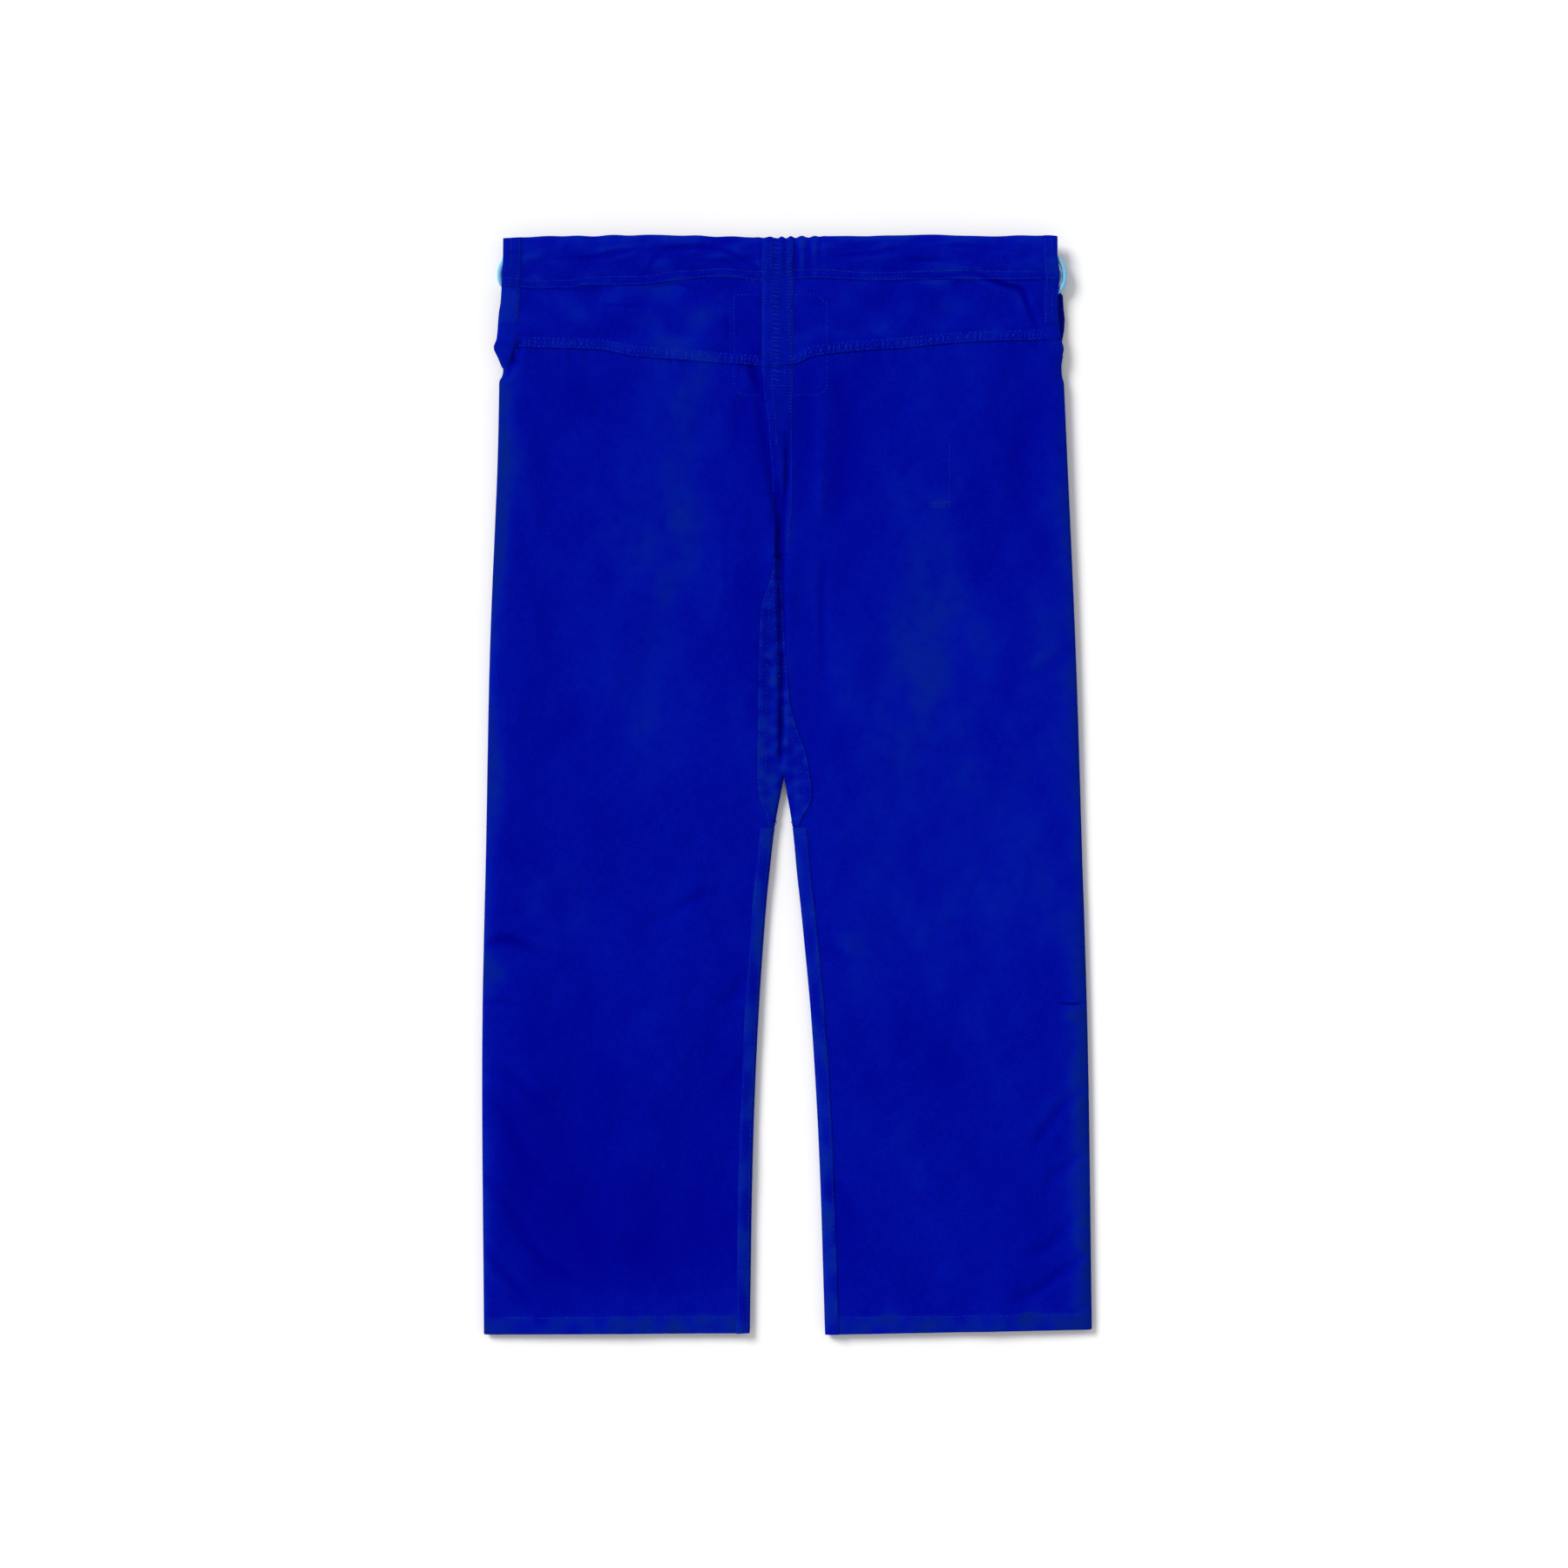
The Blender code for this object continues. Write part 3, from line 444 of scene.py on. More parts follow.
BACK_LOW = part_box("left_calf_panel")[1].z
BACK_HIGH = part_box("left_seat_panel")[1].z
BACK_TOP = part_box("left_seat_panel")[1].y
FRONT_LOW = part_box("left_shin_panel")[0].z
FRONT_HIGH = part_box("left_front_panel")[1].z - CLOTH
FRONT_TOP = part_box("left_front_panel")[1].y


def back_level(y):
    """Flat level of the back's outer face."""
    return BACK_LOW + (BACK_HIGH - BACK_LOW) * above_knee(y, BACK_TOP)


def front_level(y):
    """Flat level of the front's outer face, which faces down."""
    return FRONT_LOW + (FRONT_HIGH - FRONT_LOW) * above_knee(y, FRONT_TOP)


def middle_level(y):
    """Height of the seam between back and front."""
    return (back_level(y) + front_level(y)) / 2


def step_up(value, width=0.0024):
    """Smooth step from 0 below zero to 1 above it."""
    t = np.clip(value / width + 0.5, 0, 1)
    return t * t * (3 - 2 * t)


def soft_box(x, y, box, edge):
    """1 inside a rectangle and 0 outside, with soft edges."""
    (x0, y0), (x1, y1) = box
    inside = np.minimum.reduce([x - x0, x1 - x, y - y0, y1 - y])
    return 1 / (1 + np.exp(np.clip(-inside / edge, -40, 40)))


def box_of(node):
    low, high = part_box(node)
    return ((low.x, low.y), (high.x, high.y))


SEAT_PATCH = box_of("seat_patch")
THIGH_PATCH = box_of("thigh_patch")


def pucker(distance, along, amount, seed, width=0.007, period=0.0085):
    """Small gathers beside a line of stitches, at a distance from it and a place along it."""
    wobble = waves(along, np.zeros_like(along), 0.060, seed) * 0.9
    ripple = np.sin(2 * np.pi * along / period + 2.2 * wobble)
    return amount * ripple * (1 + 0.5 * wobble) * np.exp(-((distance / width) ** 2))


def back_relief(x, y):
    """Creases, soft folds and puckers of the back cloth."""
    outer, inner = edge_distances(x, y)
    calm = 0.75 + 0.35 * waves(x, y, 0.30, 5)
    soft = 0.00080 * waves(x, y, 0.130, 1, (1, 1.6)) + 0.00042 * waves(x, y, 0.050, 2, (1, 1.8))
    fine = 0.00010 * waves(x, y, 0.016, 3) + 0.00004 * waves(x, y, 0.007, 4)
    folds = 1 - np.abs(waves(x, y, 0.085, 6, (1, 1.5)))
    sharp = -0.00035 * np.clip((folds - 0.82) / 0.18, 0, 1) ** 2
    total = (soft + sharp) * np.clip(calm, 0.2, 1.4) + fine + crease_depth(x, y, CREASES)
    total += pucker(inner - 0.010, y, 0.00022 * (y < CROTCH[1]), 7)
    total += pucker(outer - 0.004, y, 0.00014 * (y < VENT), 8, width=0.010, period=0.019)
    total += pucker(y - HEM - HEM_DEPTH, x + 0.5 * (y - HEM), 0.00020, 9, width=0.009, period=0.011)
    for side in SIDES:
        seam = y - yoke_seam[side.name](x)
        own = side.inward * (CENTRE - x) > 0
        total += own * pucker(seam + 0.004, x, 0.00030, 10, width=0.010, period=0.0115)
    total += 0.00028 * soft_box(x, y, SEAT_PATCH, 0.0008)
    total += 0.00030 * soft_box(x, y, THIGH_PATCH, 0.0010)
    trough = np.exp(-(((x - CENTRE + 0.0138) / 0.0022) ** 2)) * step_up(y - 0.374, 0.006)
    return np.maximum(total - 0.0012 * trough, DEEPEST)


def back_height(x, y):
    """Height of the back's outer face."""
    x, y = as_arrays(x, y)
    outer, inner = edge_distances(x, y)
    middle = middle_level(y)
    vent = np.clip((y - VENT + 0.018) / 0.016, 0, 1)
    sunk = 1 - (1 - roll(outer)) * (1 - vent * (1 - VENT_DROP))
    rise = np.minimum(sunk, roll(inner, 0.014))
    full = back_level(y) + back_relief(x, y) * np.clip(rise, 0, 1) ** 1.5
    return middle + (full - middle) * rise


def front_relief(x, y):
    """Soft folds of the front, which lift it off the floor and never press it in."""
    soft = 0.00035 * waves(x, y, 0.120, 21, (1, 1.6)) + 0.00018 * waves(x, y, 0.045, 22)
    outer, inner = edge_distances(x, y)
    seams = pucker(outer - 0.011, y, 0.00016, 23) + pucker(inner - 0.011, y, 0.00016, 24)
    seams += pucker(y - HEM - HEM_DEPTH, x, 0.00018, 25, width=0.009, period=0.011)
    return np.clip(soft + seams + 0.00035, 0.00002, 0.0012)


def front_height(x, y, layer=0.0):
    """Height of the front's outer face, or of a layer of cloth under it."""
    x, y = as_arrays(x, y)
    outer, inner = edge_distances(x, y)
    middle = middle_level(y)
    rise = np.minimum(roll(outer), roll(inner, 0.014))
    full = front_level(y) - layer * (LAYER - 0.0004) + front_relief(x, y) * rise
    return middle + (full - middle) * rise


def back_face(x, y):
    """Outer face of the back cloth, a hair above the field that its lower layers follow."""
    return back_height(x, y) + SKIN


def front_face(x, y):
    """Outer face of the front cloth, which faces down."""
    return front_height(x, y) - SKIN


def front_second(x, y):
    """Outer face of a second layer on the front cloth."""
    return front_height(x, y, 1)


# ---------------------------------------------------------------- mesh building


def unit(vectors):
    return vectors / np.maximum(np.linalg.norm(vectors, axis=-1, keepdims=True), 1e-12)


def lift_hems(points):
    """Points with those near a hem raised towards the wearer's right, as the legs are cut."""
    points = points.copy()
    x, y = points[:, 0], points[:, 1]
    for side in SIDES:
        ends = sorted((float(side.outer(HEM)), float(side.inner(HEM))))
        share = np.clip((x - ends[0]) / (ends[1] - ends[0]), 0, 1)
        near = np.clip((HEM + 0.08 - y) / 0.08, 0, 1) * (side.inward * (x - CROTCH[0]) < 0)
        points[:, 1] = points[:, 1] + HEM_LIFT[side.name] * share * near
    return points


def finish_mesh(name, points, faces, material, fade, uv=None):
    """Mesh piece with a UV map in metres, a fade value at each point and soft shading. The fade value carries
    tone and wear, and painted light and shade on some pieces.
    """
    mesh = bpy.data.meshes.new(name)
    mesh.from_pydata(lift_hems(points).tolist(), [], faces)
    if uv is None:
        uv = np.stack([points[:, 0] + 0.7 * points[:, 2], points[:, 1]], axis=1)
    corner = np.zeros(len(mesh.loops), np.int32)
    mesh.loops.foreach_get("vertex_index", corner)
    layer = mesh.uv_layers.new(name="cloth")
    layer.data.foreach_set("uv", uv[corner].astype(np.float32).ravel())
    values = np.zeros(len(points)) if fade is None else fade
    attribute = mesh.attributes.new("fade", "FLOAT", "POINT")
    attribute.data.foreach_set("value", np.asarray(values, np.float32))
    mesh.shade_smooth()
    mesh.set_sharp_from_angle(angle=math.radians(55))
    mesh.materials.append(material)
    piece = bpy.data.objects.new(name, mesh)
    bpy.context.scene.collection.objects.link(piece)
    return piece


def grid_normals(grid):
    across = np.gradient(grid, axis=1)
    down = np.gradient(grid, axis=0)
    return unit(np.cross(down, across))


def shell(face, normals, thickness):
    """Points and quads of a closed sheet behind a grid of points, with a rim all round."""
    rows, cols = face.shape[:2]
    behind = face - normals * thickness
    points = np.concatenate([face.reshape(-1, 3), behind.reshape(-1, 3)])
    index = np.arange(rows * cols).reshape(rows, cols)
    a, b, c, d = index[:-1, :-1], index[1:, :-1], index[1:, 1:], index[:-1, 1:]
    front = np.stack([a, b, c, d], axis=-1).reshape(-1, 4)
    back = front[:, ::-1] + rows * cols
    loop = np.concatenate([
        index[:-1, 0], index[-1, :-1], index[:0:-1, -1], index[0, :0:-1],
    ])
    after = np.roll(loop, -1)
    rim = np.stack([loop, loop + rows * cols, after + rows * cols, after], axis=-1)
    return points, np.concatenate([front, back, rim]).tolist()


def cloth_grid(name, face, material, fade=None, thickness=CLOTH, down=False):
    """Sheet of cloth whose outer face is a grid. Its rows run down the garment."""
    if (face[0, -1, 0] < face[0, 0, 0]) != down:
        face = face[:, ::-1]
        fade = None if fade is None else fade[:, ::-1]
    points, faces = shell(face, grid_normals(face), thickness)
    values = None if fade is None else np.tile(fade.reshape(-1), 2)
    return finish_mesh(name, points, faces, material, values)


def spread(*stretches):
    """Evenly spaced values along stretches given as (start, end, spacing)."""
    values = []
    for start, end, spacing in stretches:
        count = max(1, round(abs(end - start) / spacing))
        values.append(np.linspace(start, end, count, endpoint=False))
    return np.concatenate([*values, [stretches[-1][1]]])


def cut_piece(name, outline, spacing, height, material, down=False, fade=None):
    """Flat-cut piece of cloth of any outline, laid on a height field."""
    border = np.array(outline, float)
    xs = np.arange(border[:, 0].min(), border[:, 0].max(), spacing) + spacing / 2
    ys = np.arange(border[:, 1].min(), border[:, 1].max(), spacing) + spacing / 2
    spots = np.stack(np.meshgrid(xs, ys), axis=-1).reshape(-1, 2)
    closed = np.concatenate([border, border[:1]])
    away = distance_to(spots[:, 0], spots[:, 1], closed)[0]
    spots = spots[away > 0.45 * spacing]
    count = len(border)
    edges = [(i, (i + 1) % count) for i in range(count)]
    seeds = [Vector(p) for p in np.concatenate([border, spots])]
    flat, _, triangles, *_ = geometry.delaunay_2d_cdt(seeds, edges, [], 1, 1e-7)
    flat = np.array([p[:] for p in flat])
    triangles = np.array(triangles)
    area = np.cross(
        flat[triangles[:, 1]] - flat[triangles[:, 0]], flat[triangles[:, 2]] - flat[triangles[:, 0]]
    )
    turned = (area < 0) != down
    triangles[turned] = triangles[turned][:, ::-1]
    face = np.column_stack([flat, height(flat[:, 0], flat[:, 1])])
    a, b, c = (face[triangles[:, i]] for i in range(3))
    normals = np.zeros_like(face)
    for i in range(3):
        np.add.at(normals, triangles[:, i], np.cross(b - a, c - a))
    behind = face - unit(normals) * CLOTH
    total = len(face)
    used = {}
    for triangle in triangles.tolist():
        for i in range(3):
            used[(triangle[i], triangle[(i + 1) % 3])] = True
    rim = [
        (i, i + total, j + total, j) for i, j in used if (j, i) not in used
    ]
    faces = triangles.tolist() + (triangles[:, ::-1] + total).tolist() + rim
    values = None if fade is None else np.tile(np.clip(fade(flat[:, 0], flat[:, 1]), -1, 1), 2)
    return finish_mesh(name, np.concatenate([face, behind]), faces, material, values)


def tube_grid(name, rings, material, fade=None, uv=None):
    """Closed tube through rings of points, with flat ends."""
    count, sides = rings.shape[:2]
    points = rings.reshape(-1, 3)
    index = np.arange(count * sides).reshape(count, sides)
    beside = np.roll(index, -1, axis=1)
    quads = np.stack([index[:-1], beside[:-1], beside[1:], index[1:]], axis=-1).reshape(-1, 4)
    faces = quads.tolist() + [index[0, ::-1].tolist(), index[-1].tolist()]
    return finish_mesh(name, points, faces, material, fade, uv)


def sleeve_grid(name, outer, inner, material, fade=None):
    """Tube with a channel along it, from outer and inner rings of points."""
    count, sides = outer.shape[:2]
    points = np.concatenate([outer.reshape(-1, 3), inner.reshape(-1, 3)])
    index = np.arange(count * sides).reshape(count, sides)
    beside = np.roll(index, -1, axis=1)
    skin = np.stack([index[:-1], index[1:], beside[1:], beside[:-1]], axis=-1).reshape(-1, 4)
    total = count * sides
    near = np.stack([index[0], beside[0], beside[0] + total, index[0] + total], axis=-1)
    far = np.stack([beside[-1], index[-1], index[-1] + total, beside[-1] + total], axis=-1)
    faces = np.concatenate([skin, skin[:, ::-1] + total, near, far]).tolist()
    values = None if fade is None else np.tile(fade.reshape(-1), 2)
    return finish_mesh(name, points, faces, material, values)


# ---------------------------------------------------------------- materials


def new_material(name):
    """Material with its node tree and its shader."""
    material = bpy.data.materials.new(name)
    material.use_nodes = True
    return material, material.node_tree, material.node_tree.nodes["Principled BSDF"]


def feed(tree, socket, value):
    """Link a socket's output to an input, or set the input to a number or colour."""
    if isinstance(value, bpy.types.NodeSocket):
        tree.links.new(value, socket)
    else:
        socket.default_value = value


def shade(tree, shader, values):
    """Link or set some of a shader's inputs, given by name."""
    for name, value in values.items():
        feed(tree, shader.inputs[name], value)


def calculate(tree, operation, a, b=0.0, c=None):
    """Output of a maths node."""
    node = tree.nodes.new("ShaderNodeMath")
    node.operation = operation
    feed(tree, node.inputs[0], a)
    feed(tree, node.inputs[1], b)
    if c is not None:
        feed(tree, node.inputs[2], c)
    return node.outputs[0]


def scaled(tree, vector, factors):
    """Vector multiplied by a factor on each axis."""
    node = tree.nodes.new("ShaderNodeVectorMath")
    node.operation = "MULTIPLY"
    feed(tree, node.inputs[0], vector)
    node.inputs[1].default_value = factors
    return node.outputs[0]


def noise(tree, vector, scale, detail=2.0):
    """Noise value, from 0 to 1."""
    node = tree.nodes.new("ShaderNodeTexNoise")
    feed(tree, node.inputs["Vector"], vector)
    node.inputs["Scale"].default_value = scale
    node.inputs["Detail"].default_value = detail
    return node.outputs["Fac"]


def blend_colour(tree, factor, first, second):
    """First colour where factor is 0 and second where it is 1."""
    node = tree.nodes.new("ShaderNodeMix")
    node.data_type = "RGBA"
    node.clamp_factor = True
    feed(tree, node.inputs[0], factor)
    feed(tree, node.inputs[6], first)
    feed(tree, node.inputs[7], second)
    return node.outputs[2]


def between(tree, value, low, high):
    """Value rescaled so that low becomes 0 and high becomes 1, kept in that range."""
    node = tree.nodes.new("ShaderNodeMapRange")
    feed(tree, node.inputs["Value"], value)
    node.inputs["From Min"].default_value = low
    node.inputs["From Max"].default_value = high
    return node.outputs["Result"]


def bump(tree, shader, height, strength, distance):
    """Fine relief on a shader, from a height value."""
    node = tree.nodes.new("ShaderNodeBump")
    node.inputs["Strength"].default_value = strength
    node.inputs["Distance"].default_value = distance
    feed(tree, node.inputs["Height"], height)
    tree.links.new(node.outputs["Normal"], shader.inputs["Normal"])


def metric_uv(tree):
    node = tree.nodes.new("ShaderNodeUVMap")
    node.uv_map = "cloth"
    return node.outputs["UV"]


def tone_wear_and_shade_value(tree):
    node = tree.nodes.new("ShaderNodeAttribute")
    node.attribute_name = "fade"
    return node.outputs["Fac"]


def weighted(tree, *terms):
    """Sum of (value - 0.5) * weight over the terms, plus 0.5."""
    total = 0.5
    for value, weight in terms:
        centred = calculate(tree, "SUBTRACT", value, 0.5)
        total = calculate(tree, "MULTIPLY_ADD", centred, weight, total)
    return total


def drill(name, dark, light, pale, wear_and_edge_shade_colour, rib=0.0011):
    """Cotton drill: diagonal ribs, uneven yarn, cloudy dye, edges greener from wear and darker blue as
    painted shade, painted shade in the creases and painted light on the ridges.
    """
    material, tree, shader = new_material(name)
    at = metric_uv(tree)
    split = tree.nodes.new("ShaderNodeSeparateXYZ")
    tree.links.new(at, split.inputs[0])
    across, along = split.outputs[0], split.outputs[1]
    drift = noise(tree, at, 240.0)
    slant = calculate(tree, "MULTIPLY_ADD", across, 0.86, calculate(tree, "MULTIPLY", along, 0.5))
    phase = calculate(tree, "MULTIPLY_ADD", slant, 2 * math.pi / rib, 0.0)
    phase = calculate(tree, "MULTIPLY_ADD", drift, 2.4, phase)
    ribs = calculate(tree, "MULTIPLY_ADD", calculate(tree, "SINE", phase), 0.5, 0.5)
    picks = calculate(tree, "SINE", calculate(tree, "MULTIPLY", along, 2 * math.pi / (rib * 0.6)))
    picks = calculate(tree, "MULTIPLY_ADD", picks, 0.5, 0.5)
    warp = noise(tree, scaled(tree, at, (1300.0, 110.0, 1.0)), 1.0, 3.0)
    weft = noise(tree, scaled(tree, at, (130.0, 1100.0, 1.0)), 1.0, 3.0)
    clouds = noise(tree, at, 6.5, 4.0)
    mottle = noise(tree, at, 75.0, 3.0)
    grain = noise(tree, at, 1100.0, 1.0)
    tone = weighted(
        tree, (clouds, 0.9), (mottle, 0.5), (warp, 1.2), (weft, 1.0), (ribs, 0.2), (grain, 1.2)
    )
    colour = blend_colour(tree, tone, dark, light)
    patchy = between(tree, mottle, 0.05, 0.6)
    # positive fade: lighter edges from wear, the broad lighter areas, and painted light on ridges and wrinkle
    # crests
    paler_and_painted_light = calculate(tree, "MULTIPLY", between(tree, tone_wear_and_shade_value(tree), 0.0, 0.6), patchy)
    colour = blend_colour(tree, paler_and_painted_light, colour, pale)
    # higher fade: wear and painted shade on the rolled edges
    wear_and_edge_shade = calculate(tree, "MULTIPLY", between(tree, tone_wear_and_shade_value(tree), 0.25, 0.9), patchy)
    colour = blend_colour(tree, wear_and_edge_shade, colour, wear_and_edge_shade_colour)
    # negative fade: the broad darker areas, and painted shade in creases and wrinkles
    darkest_tone_and_crease_shade = calculate(tree, "MULTIPLY", tone_wear_and_shade_value(tree), -0.85)
    colour = blend_colour(tree, darkest_tone_and_crease_shade, colour, DARKEST_TONE_AND_CREASE_SHADE)
    specks = between(tree, noise(tree, at, 620.0, 0.0), 0.76, 0.84)
    colour = blend_colour(tree, calculate(tree, "MULTIPLY", specks, 0.4), colour, wear_and_edge_shade_colour)
    shade(tree, shader, {
        "Base Color": colour, "Roughness": calculate(tree, "MULTIPLY_ADD", warp, 0.10, 0.84),
        "Specular IOR Level": 0.006, "Sheen Weight": 0.04, "Sheen Roughness": 0.45,
        "Sheen Tint": (0.004, 0.05, 0.8, 1.0),
    })
    height = weighted(tree, (ribs, 0.55), (picks, 0.20), (warp, 0.8), (weft, 0.6), (grain, 0.4))
    bump(tree, shader, height, 0.55, 0.00022)
    return material


def thread_material():
    """Polyester topstitching thread, a little brighter than the cloth."""
    material, tree, shader = new_material("thread")
    at = metric_uv(tree)
    mottle = noise(tree, at, 160.0, 2.0)
    fibres = noise(tree, scaled(tree, at, (4200.0, 4200.0, 1.0)), 1.0, 1.0)
    tone = weighted(tree, (mottle, 1.0), (fibres, 0.6), (tone_wear_and_shade_value(tree), 0.9))
    colour = blend_colour(tree, tone, (0.0005, 0.0070, 0.300, 1), (0.0050, 0.0340, 0.450, 1))
    shade(tree, shader, {"Base Color": colour, "Roughness": 0.62, "Specular IOR Level": 0.06})
    bump(tree, shader, fibres, 0.4, 0.00008)
    return material


def cord_material():
    """Soft light blue braid, with painted shade in the grooves between its strands."""
    material, tree, shader = new_material("cord_braid")
    at = metric_uv(tree)
    fibres = noise(tree, scaled(tree, at, (2600.0, 900.0, 1.0)), 1.0, 2.0)
    mottle = noise(tree, at, 90.0, 2.0)
    # strands carries the braid's painted shade: darker in the grooves, lighter on the strands
    strands = calculate(tree, "MULTIPLY_ADD", calculate(tree, "SUBTRACT", fibres, 0.5), 0.5, tone_wear_and_shade_value(tree))
    colour = blend_colour(tree, strands, (0.060, 0.300, 0.640, 1), (0.250, 0.600, 0.880, 1))
    colour = blend_colour(tree, between(tree, mottle, 0.55, 0.8), colour, (0.330, 0.660, 0.900, 1))
    shade(tree, shader, {
        "Base Color": colour, "Roughness": 0.78, "Specular IOR Level": 0.20, "Sheen Weight": 0.15,
        "Sheen Tint": (0.75, 0.9, 1.0, 1.0),
    })
    bump(tree, shader, fibres, 0.5, 0.00018)
    return material


def tip_material():
    """Shrunk plastic sleeve on a cord end, slightly scuffed."""
    material, tree, shader = new_material("cord_tip_sleeve")
    at = metric_uv(tree)
    scuffs = noise(tree, scaled(tree, at, (900.0, 160.0, 1.0)), 1.0, 3.0)
    colour = blend_colour(
        tree, between(tree, scuffs, 0.35, 0.75), (0.330, 0.620, 0.850, 1), (0.560, 0.780, 0.930, 1)
    )
    roughness = calculate(tree, "MULTIPLY_ADD", scuffs, 0.35, 0.22)
    shade(tree, shader, {"Base Color": colour, "Roughness": roughness, "Specular IOR Level": 0.45})
    bump(tree, shader, scuffs, 0.25, 0.00010)
    return material


def floor_material():
    """Plain matt white, very slightly cloudy."""
    material, tree, shader = new_material("studio_floor")
    coordinates = tree.nodes.new("ShaderNodeTexCoord")
    clouds = noise(tree, coordinates.outputs["Object"], 1.3, 2.0)
    colour = blend_colour(tree, clouds, (0.944, 0.944, 0.945, 1), (0.950, 0.950, 0.950, 1))
    shade(tree, shader, {"Base Color": colour, "Roughness": 0.8, "Specular IOR Level": 0.1})
    return material


# darkest colour, for the broad darker areas and for painted shade in creases and wrinkles
DARKEST_TONE_AND_CREASE_SHADE = (0.00005, 0.0002, 0.232, 1)
# on the rolled edges the last colour is wear and painted shade: greener and darker blue
BODY = drill(
    "drill", (0.0001, 0.0010, 0.252, 1), (0.0004, 0.0056, 0.338, 1),
    (0.0008, 0.0092, 0.325, 1), (0.0012, 0.0125, 0.200, 1),
)
DOUBLE = drill(
    "drill_double", (0.0001, 0.0008, 0.252, 1), (0.0005, 0.0052, 0.338, 1),
    (0.0008, 0.0100, 0.335, 1), (0.0012, 0.0130, 0.270, 1),
)
TRIM = drill(
    "drill_trim", (0.0002, 0.0016, 0.245, 1), (0.0006, 0.0075, 0.330, 1),
    (0.0009, 0.0110, 0.325, 1), (0.0014, 0.0150, 0.250, 1), 0.0009,
)
THREAD_BLUE = thread_material()
BRAID = cord_material()
TIP = tip_material()


# ---------------------------------------------------------------- camera, light and floor


def camera():
    """Straight down on the garment, from far enough away to look flat."""
    distance = 3.9
    data = bpy.data.cameras.new("camera")
    data.lens = 100.0
    data.sensor_width = 36.0
    eye = bpy.data.objects.new("camera", data)
    eye.location = (CROTCH[0], 0.0006, distance)
    bpy.context.scene.collection.objects.link(eye)
    bpy.context.scene.camera = eye


def lights():
    """White surroundings and a broad soft light from the upper left."""
    world = bpy.data.worlds.new("studio")
    world.use_nodes = True
    background = world.node_tree.nodes["Background"]
    background.inputs["Color"].default_value = (1.0, 1.0, 1.0, 1.0)
    background.inputs["Strength"].default_value = 0.56
    bpy.context.scene.world = world
    data = bpy.data.lights.new("key", "SUN")
    data.energy = 2.56
    data.angle = math.radians(24)
    key = bpy.data.objects.new("key", data)
    key.rotation_euler = Vector((-0.74, 0.62, 0.87)).to_track_quat("Z", "Y").to_euler()
    bpy.context.scene.collection.objects.link(key)
    bpy.context.scene.view_settings.view_transform = "Standard"


def floor():
    """White ground that the garment lies on, which is no part of it."""
    mesh = bpy.data.meshes.new("floor")
    far = 12.0
    corners = [(-far, -far, 0), (far, -far, 0), (far, far, 0), (-far, far, 0)]
    mesh.from_pydata(corners, [], [(0, 1, 2, 3)])
    mesh.materials.append(floor_material())
    ground = bpy.data.objects.new("floor", mesh)
    ground.location.z = -0.0002
    bpy.context.scene.collection.objects.link(ground)


# ---------------------------------------------------------------- cords


def cord_frames(points):
    """Two directions square to a line at each of its points, turning as little as they can."""
    ahead = unit(np.gradient(points, axis=0))
    side = unit(np.cross(ahead[0], (0.0, 0.0, 1.0)))
    sides = []
    for direction in ahead:
        side = unit(side - direction * (side @ direction))
        sides.append(side)
    sides = np.array(sides)
    return sides, np.cross(ahead, sides)


def braid(name, points, sides=24):
    """Round braided cord along points. Its strands stand out where they cross on top."""
    strands, pick = 4, 0.0024
    first, second = cord_frames(points)
    run = run_along(points)
    turn = np.linspace(0, 2 * math.pi, sides, endpoint=False)[None, :]
    wind = 2 * math.pi * run[:, None] / pick
    up = np.cos(strands * turn + wind)
    down = np.cos(strands * turn - wind)
    lift = np.maximum(up, down)
    radius = CORD / 2 * (0.955 + 0.055 * lift)
    rings = (
        points[:, None, :] + radius[..., None] * (
            np.cos(turn)[..., None] * first[:, None, :] + np.sin(turn)[..., None] * second[:, None, :]
        )
    )
    uv = np.stack(np.broadcast_arrays(turn * CORD / 2, run[:, None]), axis=-1).reshape(-1, 2)
    # low between the strands: painted shade in the braid's grooves
    fade = np.clip(0.55 + 0.5 * lift, 0, 1).reshape(-1)
    return tube_grid(name, rings, BRAID, fade, uv)


BACK_Y = centre_of("left_back_casing")[1]
FRONT_Y = centre_of("left_front_casing")[1]
BACK_Z = centre_of("drawstring_back_run")[2]
FRONT_Z = centre_of("drawstring_left_run")[2]
MIDDLE_Z = (BACK_Z + FRONT_Z) / 2
HIP_LEG = 0.075  # straight leg of a hip loop inside its casing


def casing_leg(side, node, y, z):
    """Straight leg of a bight, from inside a casing to its open end at the hip."""
    low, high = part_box(node)
    mouth = low.x if side.inward > 0 else high.x
    return [(mouth + side.inward * HIP_LEG * share, y, z) for share in (1, 0.5, 0)]


